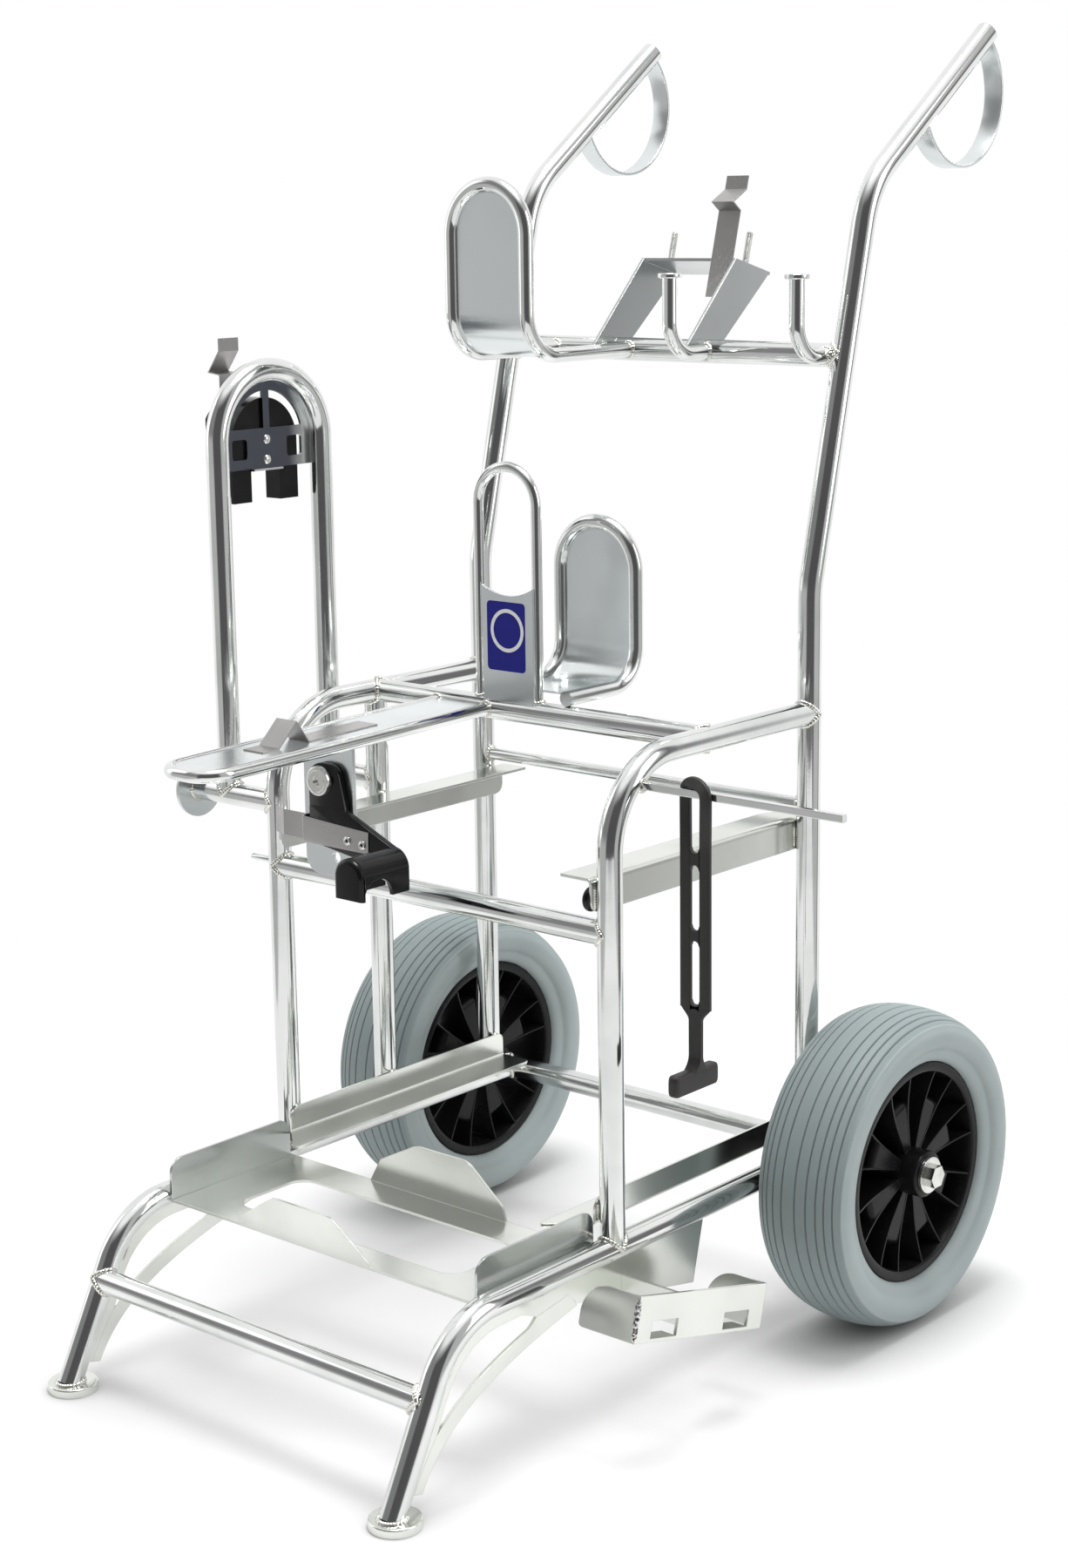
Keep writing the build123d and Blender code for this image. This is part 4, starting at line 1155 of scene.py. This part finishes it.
@dataclass
class HookSet(Assembly):
    """Swinging hook with its bracket, bolt, riveted leaf spring and post pin."""

    leaf_front: float = -59.3
    leaf_line: tuple[Point, ...] = (
        (-24.5, -58.8), (-107.0, -58.8), (-108.5, -51.0), (-139.0, -51.0), (-154.0, -46.0), (-158.0, -42.0),
    )
    leaf_bends: Point = (1.6, 1.6, 1.2, 3.0)
    leaf_z: Point = (476.6, 500.4)
    leaf_taper: float = 4.4
    leaf_half: float = 0.5
    pivot: Point = (-81.5, -58.6, 535.5)
    bolt: tuple[Point, ...] = (
        (-11.6, 5.0), (-7.6, 5.0), (-7.6, 6.0), (0.0, 6.0), (0.0, 13.4), (4.7, 13.4), (5.6, 13.0),
        (6.0, 12.1), (6.0, 9.9), (5.75, 9.6), (6.0, 9.3), (6.0, 4.6), (5.5, 4.1), (3.2, 3.9), (3.2, 0.05),
        (-11.6, 0.05),
    )
    rivets: tuple[Point, ...] = ((-50.3, 485.2), (-32.0, 483.9))
    # Rivet: radius, hole, height and sunk foot; core and pin: radius, height, edge
    rivet_size: Point = (4.2, 1.5, 1.5, 0.2)
    core_size: Point = (1.7, 0.5, 0.15)
    pin: Point = (-209.0, 0.0, 432.0)
    pin_size: Point = (3.0, 29.0, 1.2)
    pin_bead: float = 1.4
    head: tuple[Point, ...] = (
        (-98.2, 520.0), (-98.2, 484.0), (-49.8, 491.6), (-63.0, 551.0), (-98.2, 551.0), (-98.2, 521.0),
    )
    head_bends: Point = (2.0, 2.0, 14.0, 16.0)
    head_gap: float = 0.15
    arm: tuple[Point, ...] = (
        (-98.5, 500.0), (-98.5, 478.0), (-15.0, 466.0), (3.5, 466.0), (9.0, 483.5), (-58.0, 512.2),
        (-98.5, 512.2), (-98.5, 501.0),
    )
    arm_bends: Point = (8.0, 5.0, 1.0, 4.0, 2.0, 3.0)
    plate_y: Point = (-51.3, -58.3)
    # Depth and inset of a plate's edge
    soft: tuple[Point, ...] = ((0.0, 0.8), (0.25, 0.25), (0.8, 0.0))
    # Middle x, height of the half circle and of the feet
    saddle: Point = (0.2, 469.5, 449.5)
    saddle_radius: float = 16.5
    saddle_wall: float = 4.0
    saddle_front: float = -111.5
    nose: float = 4.5
    nose_lap: float = 1.5
    nose_lift: float = 0.2
    # Middle y and radius of the saddle's side opening
    arch: Point = (-89.5, 17.5)

    def build(self) -> None:
        """Make the hook with its leaf, rivets and bolt, and the post's pin; dress the bracket."""
        spots = [(x, self.leaf_front, z) for x, z in self.rivets]
        heads = [rivet(spot, AHEAD, *self.rivet_size) for spot in spots]
        make_piece("leaf_rivets", heads, FASTENER, body=Body.HOOK)
        cores = [puck(spot, AHEAD, *self.core_size) for spot in spots]
        make_piece("rivet_cores", cores, BLACK, body=Body.HOOK)
        make_piece("post_pin", [puck(self.pin, LEFT, *self.pin_size)], TUBE)
        self.weld((-HALF, *self.pin[1:]), LEFT, Z, self.pin_size[0], self.pin_bead)
        self.dress(SHEET, "hook_bracket")
        make_piece("swing_hook_moulded", self.moulding(), BLACK, ["swing_hook"], FOLD, Body.HOOK)
        make_piece("leaf_folded", [self.leaf()], STRIP_X, ["hook_leaf_spring"], FOLD, Body.HOOK)
        bolt = lathe(self.bolt, self.pivot, 48, AHEAD)
        make_piece("pivot_bolt_turned", [bolt], FASTENER, ["hook_pivot_bolt"], FOLD)

    def hoop(self, radius: float, foot: np.ndarray | float, low: float) -> np.ndarray:
        """Half circle on two legs in (x, z): right foot, over the top, left foot.

        Args:
            radius: half width.
            foot: height of the right foot; an array gives one ring for each height.
            low: height of the left foot.

        Returns:
            Points of shape (..., n, 2).
        """
        x, z, _ = self.saddle
        turn = np.linspace(0, np.pi, 25)
        foot = np.asarray(foot, float)[..., None]
        right = foot + (z - foot) * np.linspace(0, 1, 5)[:-1]
        rest = np.concatenate([z + radius * np.sin(turn), np.linspace(z, low, 5)[1:]])
        heights = np.concatenate([right, np.broadcast_to(rest, (*foot.shape[:-1], len(rest)))], axis=-1)
        across = np.concatenate([np.ones(4), np.cos(turn), -np.ones(4)]) * radius + x
        return np.stack([np.broadcast_to(across, heights.shape), heights], axis=-1)

    def plate(self, corners: Sequence[Point], bends: Point, steps: int, gap: float) -> Shell:
        """Soft-edged plate of the hook, each face set in by a gap."""
        back, front = self.plate_y
        levels = [(back - gap - y, inset) for y, inset in self.soft]
        levels += [(front + gap + y, inset) for y, inset in self.soft[::-1]]
        return cushion(rounded_path(corners, bends, steps), levels)

    def moulding(self) -> list[Shell]:
        """Hook: head and arm plates, an arched saddle shell and its closed front.

        The saddle is the hoop drawn along y, its right foot at low + sqrt(R^2 - (y - c)^2) within
        the arch; the front's rings shrink by nose (1 - cos t) while y runs out by nose sin t.

        Returns:
            The shells.
        """
        head = self.plate(self.head, self.head_bends, 10, self.head_gap)
        arm = self.plate(self.arm, self.arm_bends, 8, 0.0)
        low = self.saddle[2]
        middle, reach = self.arch
        edge = self.saddle_front + self.nose
        swing = middle + reach * np.cos(np.linspace(0, np.pi, 33))
        y = np.unique(np.concatenate([np.linspace(self.plate_y[0], edge - 1.0, 14), swing]))[::-1]
        foot = low + np.sqrt(np.clip(reach ** 2 - (y - middle) ** 2, 0, None))
        outside = self.hoop(self.saddle_radius, foot, low)
        inside = self.hoop(self.saddle_radius - self.saddle_wall, foot, low)[:, ::-1]
        saddle = strip_ends(layers(np.concatenate([outside, inside], axis=1), y[:, None]))
        turn = np.linspace(0, np.pi / 2, 7)
        inset = np.concatenate([[0.0], self.nose * (1 - np.cos(turn))])
        out = np.concatenate([[edge + self.nose_lap], edge - self.nose * np.sin(turn)])
        rings = [(self.saddle_radius - e, low + self.nose_lift * e) for e in inset]
        nose = lattice(layers(np.stack([self.hoop(r, z, z) for r, z in rings]), out[:, None]))
        return [head, arm, saddle, nose]

    def leaf(self) -> Shell:
        """Leaf spring: a thin upright strip along its plan line, its top falling towards the free end."""
        flat = rounded_path([(*p, 0.0) for p in self.leaf_line], self.leaf_bends, 6)
        low, high = self.leaf_z
        end, start = self.leaf_line[0][0], self.leaf_line[1][0]
        top = high - self.leaf_taper * np.clip((flat[:, 0] - start) / (end - start), 0, 1)
        path = flat + np.column_stack([np.zeros((len(flat), 2)), (low + top) / 2])
        return sweep(path, squircle((top - low) / 2, self.leaf_half, 0.08), Z)


@dataclass
class SideHoop(Assembly):
    """Upright hoop on two stubs, with its plate, saddle and clip."""

    x: float = -265.0
    top: float = 883.0
    stub_z: float = 489.0
    ends: Point = (0.0, 132.5)
    front_end: float = -308.0
    rear_end: float = -280.0
    disc_bead: float = 2.2
    screws: tuple[Point, ...] = ((-269.0, 66.25, 818.0), (-269.0, 66.25, 799.0))
    # Radius and height
    screw_size: Point = (4.6, 2.4)
    lip: tuple[Point, Point] = ((-265.6, 43.0, 790.6), (-265.6, 80.0, 790.6))
    # Width, thickness and edge radius
    lip_size: Point = (7.0, 2.0, 0.8)

    def build(self) -> None:
        """Make the hoop and stubs, weld them and dress the rest."""
        front, rear = self.ends
        path = [(self.x, front, self.stub_z), (self.x, front, self.top)]
        path += [(self.x, rear, self.top), (self.x, rear, self.stub_z)]
        self.tube("hoop_tube", path, [(rear - front) / 2 - RUN] * 2)
        for node, y, end in (("front_stub", front, self.front_end), ("rear_stub", rear, self.rear_end)):
            ends = [(-HALF, y, self.stub_z), (end, y, self.stub_z)]
            self.tube(node, ends)
            self.weld(ends[0], LEFT, Z)
            self.weld((self.x, y, self.stub_z), Z, X)
        self.welds.append(bead_on_plane((self.front_end, front, self.stub_z), X, X, self.disc_bead))
        self.dress(SHEET, "stub_disc")
        # Hoop plate: dark with a painted highlight
        self.dress(PLATE, "hoop_plate")
        self.dress(BLACK, "hoop_saddle")
        self.dress(STRIP_Z, "hoop_clip")
        make_piece("plate_screws", [dome(spot, X, *self.screw_size) for spot in self.screws], FASTENER)
        make_piece("plate_lip", [sweep(np.linspace(*self.lip, 4), strip_section(*self.lip_size), X)], TUBE)


@dataclass
class UpperSet(Assembly):
    """Tilted bracket with studs and clip, and two upturned hooks."""

    hook_x: Point = (51.0, 187.0)
    hook_y: Point = (273.0, 281.0)
    hook_top: float = 963.0
    hook_radius: float = 7.0
    hook_bead: float = 2.2
    bend: float = 30.0
    # Radius, height and edge
    cap: Point = (11.0, 4.5, 1.2)
    stud_x: Point = (-50.0, 40.0)
    stud_foot: Point = (401.98, 970.64)
    stud_tilt: float = 15.0
    # Radius, length and pitch
    stud_size: Point = (3.4, 32.0, 1.25)

    def build(self) -> None:
        """Make the hooks and studs, weld the hooks and dress the rest."""
        shells, caps = [], []
        for x, y in zip(self.hook_x, self.hook_y):
            path = [(x, *UPPER_BAR), (x, y, UPPER_BAR[1]), (x, y, self.hook_top)]
            caps.append(puck(path[-1], Z, *self.cap))
            shells.append(tube_shell(path, [self.bend], self.hook_radius))
            self.weld(path[0], AHEAD, X, self.hook_radius, self.hook_bead)
        make_piece("j_hooks_smooth", shells, TUBE, ["j_hooks"])
        make_piece("hook_caps_smooth", caps, TUBE, ["j_hook_caps"])
        tilt = math.radians(self.stud_tilt)
        rise = (0.0, math.sin(tilt), math.cos(tilt))
        studs = [thread((x, *self.stud_foot), rise, *self.stud_size) for x in self.stud_x]
        make_piece("studs_threaded", studs, FASTENER, ["upper_studs"])
        # Upper bracket in the darker copy of the sheet: painted shade
        self.dress(SHADED_SHEET, "upper_bracket")
        self.dress(STRIP_Z, "upper_clip")


@dataclass
class Wheels(Assembly):
    """Ribbed solid tyres on moulded rims."""

    x: float = 268.0
    axle: Point = (319.0, 150.0)
    outer: float = 150.0
    # Tread: half width, lowest radius and power; half of the grooved part
    arch: Point = (47.6, 131.0, 2.12)
    tread_half: float = 43.4
    wall: tuple[Point, ...] = (
        (44.0, 139.4), (44.6, 139.3), (45.1, 138.6), (45.4, 137.0), (46.4, 135.0), (47.2, 132.4),
        (47.5, 129.6), (47.3, 126.0), (46.4, 121.6), (44.8, 118.4), (42.6, 116.4), (41.5, 115.4),
        (41.0, 113.4), (40.0, 109.0), (37.6, 105.6), (34.0, 104.0),
    )
    grooves: Point = (-37.9, -31.4, -23.2, -12.8, 1.8, 13.4, 23.1, 30.6, 37.8)
    groove_depth: float = 2.2
    groove_width: float = 0.7
    segments: int = 160
    sharp: float = 60.0
    barrel: tuple[Point, ...] = (
        (34.0, 104.0), (35.0, 103.0), (35.2, 101.6), (35.2, 96.0), (34.7, 94.7), (33.6, 94.0), (14.0, 92.8),
    )
    hub: tuple[Point, ...] = (
        (-52.7, 16.0), (-30.0, 16.0), (-20.0, 22.0), (44.0, 22.0), (45.4, 21.4), (46.0, 20.0), (46.0, 8.05),
        (-52.7, 8.05),
    )
    spokes: int = 8
    phase: float = 17.6
    spread: float = 10.0
    reach: Point = (20.0, 94.0)
    # Half depth at the hub and at the barrel, and the radius where it starts to rise
    rib_edge: Point = (28.4, 34.2, 45.0)
    rib: float = 2.0
    # Set-back and thickness; radius of the fold, its bend, depth and lean
    web: Point = (1.4, 2.2)
    fold: Point = (69.0, 6.0, 22.0, 1.5)

    def outline(self) -> np.ndarray:
        """Tyre section (x, r): arched and grooved tread, edge bead, swelling wall, step and seat.

        r over the tread is low + (outer - low) (1 - |x / half|^power)^(1 / power), less
        depth exp(-((x - c) / width)^4) for each groove c; the wall runs through fixed points.

        Returns:
            Closed outline, counted once round.
        """
        half, low, power = self.arch
        centres = np.array(self.grooves)
        fine = np.linspace(-2.4, 2.4, 13) * self.groove_width
        even = np.linspace(-self.tread_half, self.tread_half, 61)
        near = np.abs(even[:, None] - centres).min(axis=1) < 2.6 * self.groove_width
        x = np.sort(np.concatenate([even[~near], (centres[:, None] + fine).ravel()]))
        cuts = np.exp(-(((x[:, None] - centres) / self.groove_width) ** 4)).sum(axis=1)
        height = low + (self.outer - low) * (1.0 - np.abs(x / half) ** power) ** (1.0 / power)
        tread = np.stack([x, height - self.groove_depth * cuts], axis=1)
        right = np.array(self.wall)
        return np.vstack([tread, right, right[::-1] * MIRROR])

    def depth(self, r: np.ndarray) -> np.ndarray:
        """Half depth of a spoke's ribs: even near the hub, then rising with the square of the radius."""
        inner, outer, start = self.rib_edge
        return inner + (outer - inner) * np.clip((r - start) / (self.reach[1] - start), 0, 1) ** 2

    def spoke(self, centre: np.ndarray, angle: float) -> list[Shell]:
        """One channel spoke: two upright ribs on rays, and a web at each face between them.

        A rib is a soft rectangle (depth(r), rib / 2) carried along its ray. A web's middle line runs
        outwards flat, then turns into the depth in a round bend; its half width is r tan(spread).

        Args:
            centre: middle of the wheel.
            angle: direction of the spoke in radians, from y towards z.

        Returns:
            Ribs and webs.
        """
        r = np.linspace(*self.reach, 16)
        half = math.radians(self.spread)
        shells = []
        for ray in (angle - half, angle + half):
            path = centre + r[:, None] * np.array([0.0, math.cos(ray), math.sin(ray)])
            shells.append(sweep(path, squircle(self.depth(r), self.rib / 2, 0.12, 24), X))
        outward = np.array([0.0, math.cos(angle), math.sin(angle)])
        across = (0.0, -math.sin(angle), math.cos(angle))
        back, thick = self.web
        end, bend, deep, lean = self.fold
        level = float(self.depth(r)[0]) - back
        corners = [(self.reach[0], level, 0), (end, level, 0), (end + lean, level - deep, 0)]
        line = rounded_path(corners, [bend], 10)
        section = squircle(line[:, 0] * math.tan(half), thick / 2, 0.06, 24)
        for face, _ in SIDES:
            path = centre + line[:, :1] * outward + line[:, 1:2] * np.array([face, 0.0, 0.0])
            shells.append(sweep(path, section, across))
        return shells

    def rim(self, side: float) -> list[Shell]:
        """Moulded rim: lipped barrel, hub and spokes."""
        centre = np.array([side * self.x, *self.axle])
        right = np.array(self.barrel)
        barrel = np.vstack([right, right[::-1] * MIRROR])
        shells = [lathe(barrel, centre, 120), lathe(self.hub, centre, 64, (side, 0.0, 0.0))]
        for k in range(self.spokes):
            shells += self.spoke(centre, math.radians(self.phase + 360.0 * k / self.spokes))
        return shells

    def build(self) -> None:
        """Turn a tyre and mould a rim for each side, and dress the axle."""
        outline = self.outline()
        for (side, word), body in zip(SIDES, (Body.LEFT_WHEEL, Body.RIGHT_WHEEL)):
            tyre = lathe(outline, (side * self.x, *self.axle), self.segments)
            make_piece(f"{word}_tyre_ribbed", [tyre], TYRE, [f"{word}_tyre"], self.sharp, body)
            make_piece(f"{word}_rim_moulded", self.rim(side), RIM, [f"{word}_rim"], body=body)
        self.dress(FASTENER, "axle_rod", "axle_fasteners")


@dataclass
class StrapSet(Assembly):
    """Square bar and the rubber strap threaded on it."""

    spot: Point = (266.0, 32.0)
    half: float = 15.5
    thickness: float = 4.5
    edge: float = 1.3
    slot_half: float = 4.75
    inside: float = 0.999
    # Webs between the slots: lower and upper z
    bridges: tuple[Point, ...] = ((493.5, 504.0), (428.5, 437.5), (369.0, 372.5))
    foot: float = 370.0
    rise: Point = (502.75, 552.8)
    weave: float = 6.4
    spread: float = 5.2
    neck_half: float = 6.5
    neck_z: Point = (373.0, 316.0)
    neck_blend: float = 14.0
    # Top, length and gain in half depth
    flare: Point = (329.0, 13.0, 8.0)
    # Middle (y, z), length, height and depth; radius of its ends and their largest inset
    grip: Point = (28.4, 308.5, 60.0, 19.0, 11.0)
    grip_round: Point = (5.0, 4.0)
    bar_weld: Point = (209.8, 32.0, 554.0)
    # Radius of the ring and of its section
    bar_bead: Point = (5.0, 2.0)
    sharp: float = 50.0

    def band(self) -> Shell:
        """Strap band: up on the left behind the bar, over it in an arch, and down on the right before it.

        With blend b = (1 - cos(pi s)) / 2 the rise moves by b spread sideways and b weave back;
        the arch is (-(m + spread) cos t, weave cos t, m sin t) about its centre, m being the band's middle.

        Returns:
            The shell.
        """
        m = (self.half + self.slot_half) / 2
        foot, eye = self.rise
        share = np.linspace(0, 1, 25)
        blend = (1 - np.cos(np.pi * share)) / 2
        low = np.linspace(self.foot, foot, 10)[:-1]
        side = np.concatenate([np.zeros(len(low)), blend])[:-1]
        height = np.concatenate([low, foot + (eye - foot) * share])[:-1]
        left = np.column_stack([-m - self.spread * side, self.weave * side, height])
        turn = np.linspace(0, np.pi, 33)
        reach = m + self.spread
        arch = np.column_stack([-reach * np.cos(turn), self.weave * np.cos(turn), eye + m * np.sin(turn)])
        right = left[::-1] * np.array([-1.0, -1.0, 1.0])
        path = np.vstack([left, arch, right]) + np.array([*self.spot, 0.0])
        lead = np.vstack([
            np.tile(X, (len(left), 1)),
            np.column_stack([np.cos(turn), np.zeros(len(turn)), -np.sin(turn)]),
            np.tile(LEFT, (len(right), 1)),
        ])
        return sweep(path, strip_section(self.half - self.slot_half, self.thickness, self.edge), lead)

    def web(self, under: float, over: float) -> Shell:
        """Bridge between two slots: from the lower slot's round top to the upper slot's round bottom."""
        x = np.linspace(-self.slot_half, self.slot_half, 15) * self.inside
        bow = self.slot_half - np.sqrt(self.slot_half ** 2 - x ** 2)
        low, high = under - bow, over + bow
        section = squircle((high - low) / 2, self.thickness / 2, 0.25)
        across = np.broadcast_to((self.spot[0] + x)[:, None], section.shape[:2])
        height = ((low + high) / 2)[:, None] + section[..., 0]
        grid = np.stack([across, self.spot[1] + section[..., 1], height], axis=2)
        return lattice(grid[:, ::-1])

    def neck(self) -> Shell:
        """Tapered neck: soft rectangles whose width shrinks and whose depth flares into the grip."""
        z = np.linspace(*self.neck_z, 48)
        fade = np.clip((self.neck_z[0] - z) / self.neck_blend, 0, 1)
        width = self.half + (self.neck_half - self.half) * (1 - np.cos(np.pi * fade)) / 2
        start, length, gain = self.flare
        depth = self.thickness / 2 + gain * np.clip((start - z) / length, 0, 1) ** 2
        path = np.column_stack([np.tile(self.spot, (len(z), 1)), z])
        return sweep(path, squircle(width, depth, 0.25), X)

    def handle(self) -> Shell:
        """Cross grip: a soft rectangle along y, drawn in at both ends by a quarter circle."""
        y, z, length, height, depth = self.grip
        rounding, pull = self.grip_round
        share = np.sin(np.linspace(-np.pi / 2, np.pi / 2, 41))
        over = np.clip((np.abs(share) * length / 2 - (length / 2 - rounding)) / rounding, 0, 0.995)
        inset = (1 - np.sqrt(1 - over ** 2))[:, None, None]
        shape = squircle(np.array(depth / 2), height / 2, 0.4)
        shape = shape - np.sign(shape) * inset * np.minimum(np.abs(shape), pull)
        path = np.column_stack([np.full(41, self.spot[0]), y + share * length / 2, np.full(41, z)])
        return sweep(path, shape, X)

    def build(self) -> None:
        """Make the soft strap, weld the bar and dress it."""
        shells = [self.band(), *(self.web(*ends) for ends in self.bridges), self.neck(), self.handle()]
        make_piece("rubber_strap_soft", shells, STRAP, ["rubber_strap"], self.sharp, Body.STRAP)
        radius, bead = self.bar_bead
        ring = ring_section(bead, 16) * -MIRROR + np.array([0.0, radius])
        self.welds.append(lathe(ring, self.bar_weld, 48))
        self.dress(BAR, "strap_bar")


@dataclass
class Studio:
    """Pale floor, soft lights and the camera."""

    eye: Point = (1580.9, -1670.3, 1032.1)
    azimuth: float = math.radians(41.228)
    elevation: float = math.radians(12.289)
    roll: float = math.radians(-0.833)
    focal_px: float = 3064.9
    image: tuple[int, int] = (1226, 1800)
    sensor: float = 36.0
    far: float = 60.0
    # Paper in metres: reach in front, behind and to either side
    paper: Point = (2.5, 1.5, 1.3)
    paper_tones: tuple[Colour, Colour] = ((0.87, 0.87, 0.87), (0.9, 0.9, 0.9))
    # Reach of the painted contact shadows: ambient occlusion that darkens the floor's glow
    contact: float = 0.12
    # Share of the floor's glow, painted light, near the object and far out
    glow: Point = (0.4, 1.0)
    glow_reach: Point = (0.5, 1.05)
    # Brightness near the camera, low and high on the left, on the right, and behind
    room: Point = (0.1, 0.52, 0.26, 0.55, 1.05)
    sides: Point = (-0.2, 0.2)
    skirting: Point = (-0.02, 0.2)
    near_wall: Point = (-0.86, -0.72)
    far_wall: Point = (0.02, 0.3)
    seam: float = 0.75
    seam_edges: tuple[Point, Point] = ((0.0, 0.08), (0.14, 0.24))
    ceiling: Point = (0.6, 1.1)
    lamp: Point = (0.76, 0.9)
    ceiling_edges: tuple[Point, Point] = ((0.62, 0.86), (-0.1, 0.4))
    # Name, place, aim, size and power
    boxes: tuple[tuple, ...] = (
        ("top_box", (0.15, 0.1, 3.2), (0.0, 0.0, 0.2), (1.2, 1.2), 72.0),
        ("left_box", (-3.0, -1.6, 1.8), (0.0, 0.0, 0.6), (1.4, 2.6), 8.0),
        ("right_box", (2.9, 1.3, 1.9), (0.0, 0.0, 0.6), (1.2, 2.6), 30.0),
    )

    def build(self) -> None:
        """Set up floor, world, lights and camera."""
        self._floor()
        self._world()
        self._lights()
        self._camera()

    @staticmethod
    def _add(name: str, data: Any) -> Any:
        """Put an object with the given data into the scene."""
        made = bpy.data.objects.new(name, data)
        bpy.context.scene.collection.objects.link(made)
        return made

    def _camera(self) -> None:
        """Camera from the photo's solved pose."""
        az, el, roll = self.azimuth, self.elevation, self.roll
        right = np.array([math.cos(az), math.sin(az), 0.0])
        ahead = np.array([-math.sin(az) * math.cos(el), math.cos(az) * math.cos(el), -math.sin(el)])
        above = np.cross(right, ahead)
        x_axis = math.cos(roll) * right + math.sin(roll) * above
        y_axis = -math.sin(roll) * right + math.cos(roll) * above
        turn = Matrix(np.stack([x_axis, y_axis, -ahead], axis=1).tolist()).to_4x4()
        data = bpy.data.cameras.new("camera")
        data.sensor_width = self.sensor
        data.lens = self.focal_px / max(self.image) * self.sensor
        data.clip_end = self.far
        camera = self._add("camera", data)
        camera.matrix_world = Matrix.Translation(Vector((np.array(self.eye) - ORIGIN) * MM)) @ turn
        bpy.context.scene.camera = camera

    def _floor(self) -> None:
        """Pale paper strip on the floor along the view, white from a metre out so that no end shows; it
        glows, painted light, and near the parts its glow carries painted contact shadows.
        """
        toward = np.array([math.sin(self.azimuth), -math.cos(self.azimuth), 0.0])
        across = np.array([-toward[1], toward[0], 0.0])
        front, back, half = self.paper
        spots = ((front, -half), (front, half), (-back, half), (-back, -half))
        mesh = bpy.data.meshes.new("floor")
        mesh.from_pydata([tuple(u * toward + v * across) for u, v in spots], [], [(0, 1, 2, 3)])
        floor = self._add("floor", mesh)
        paper = bpy.data.materials.new("paper_floor")
        paper.use_nodes = True
        graph = Graph(paper.node_tree)
        shade = graph.blend(graph.noise(3.0, 2.0), *self.paper_tones)
        matte = graph.node("ShaderNodeBsdfDiffuse", None, {"Color": shade})
        # Painted contact shadow: ambient occlusion darkens the glow near the parts
        clear = graph.node("ShaderNodeAmbientOcclusion", {"samples": 16}, {"Distance": self.contact}, "AO")
        tone = graph.blend(clear * clear, (0.0, 0.0, 0.0), (1.0, 1.0, 1.0))
        glow = graph.node("ShaderNodeEmission", None, {"Color": tone, "Strength": 1.0})
        x, y, _ = graph.parts()
        far = between(self.glow, (x * x + y * y).root().step(*self.glow_reach))
        mixed = graph.node("ShaderNodeMixShader", None, {0: far, 1: matte, 2: glow})
        graph.node("ShaderNodeOutputMaterial", None, {"Surface": mixed})
        mesh.materials.append(paper)

    def _world(self) -> None:
        """White to the camera; for light and reflections a room seen from the object.

        Round the horizon it is dark near the camera, grey at both sides, and pale behind, with a
        dark seam at the right; the left wall is paler near the floor, and above are a lit ceiling
        and a lamp field.
        """
        world = bpy.data.worlds.new("studio")
        bpy.context.scene.world = world
        world.use_nodes = True
        graph = Graph(world.node_tree)
        x, y, z = graph.parts(graph.node("ShaderNodeTexCoord", out="Generated"))
        level = (1.0001 - z * z).root()
        east, north = math.cos(self.azimuth), math.sin(self.azimuth)
        away = (east * y - north * x) / level
        right = ((east * x + north * y) / level).step(*self.sides)
        dark, foot, left, far, wall = self.room
        left_wall = between((foot, left), z.step(*self.skirting))
        side = left_wall + (far - left_wall) * right
        start, end = self.seam_edges
        seam = right * away.step(*start) * (1.0 - away.step(*end))
        room = dark + (side - dark) * away.step(*self.near_wall)
        room = room + (wall - side) * away.step(*self.far_wall)
        room = room * (1.0 - self.seam * seam)
        roof = between(self.ceiling, z.step(*self.lamp))
        edge, back = self.ceiling_edges
        over = z.step(*edge) * (1.0 - away.step(*back))
        bright = room * (1.0 - over) + roof * over
        shown = graph.node("ShaderNodeLightPath", out="Is Camera Ray")
        strength = bright * (1.0 - shown) + shown
        white = {"Color": (1.0, 1.0, 1.0, 1.0), "Strength": strength}
        backdrop = graph.node("ShaderNodeBackground", None, white)
        graph.node("ShaderNodeOutputWorld", None, {"Surface": backdrop})

    def _lights(self) -> None:
        """Large soft boxes above and at the sides."""
        for name, place, aim, size, power in self.boxes:
            data = bpy.data.lights.new(name, "AREA")
            data.shape = "RECTANGLE"
            data.size, data.size_y = size
            data.energy = power
            light = self._add(name, data)
            light.location = place
            light.rotation_euler = (Vector(aim) - Vector(place)).to_track_quat("-Z", "Y").to_euler()
            light.visible_camera = False


def main() -> None:
    """Load the frame, build and dress the sub-assemblies, and set up the studio."""
    logging.basicConfig(level=logging.INFO, format="%(name)s %(message)s")
    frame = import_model()
    bpy.context.scene.view_settings.view_transform = "Standard"
    welds: list[Shell] = []
    for kind in (TubeFrame, Handles, CableRests, Carriers, HookSet, SideHoop, UpperSet, Wheels, StrapSet):
        kind(frame, welds).build()
    make_piece("weld_beads", welds, WELD)
    Studio().build()
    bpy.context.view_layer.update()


if __name__ == "__main__":
    main()
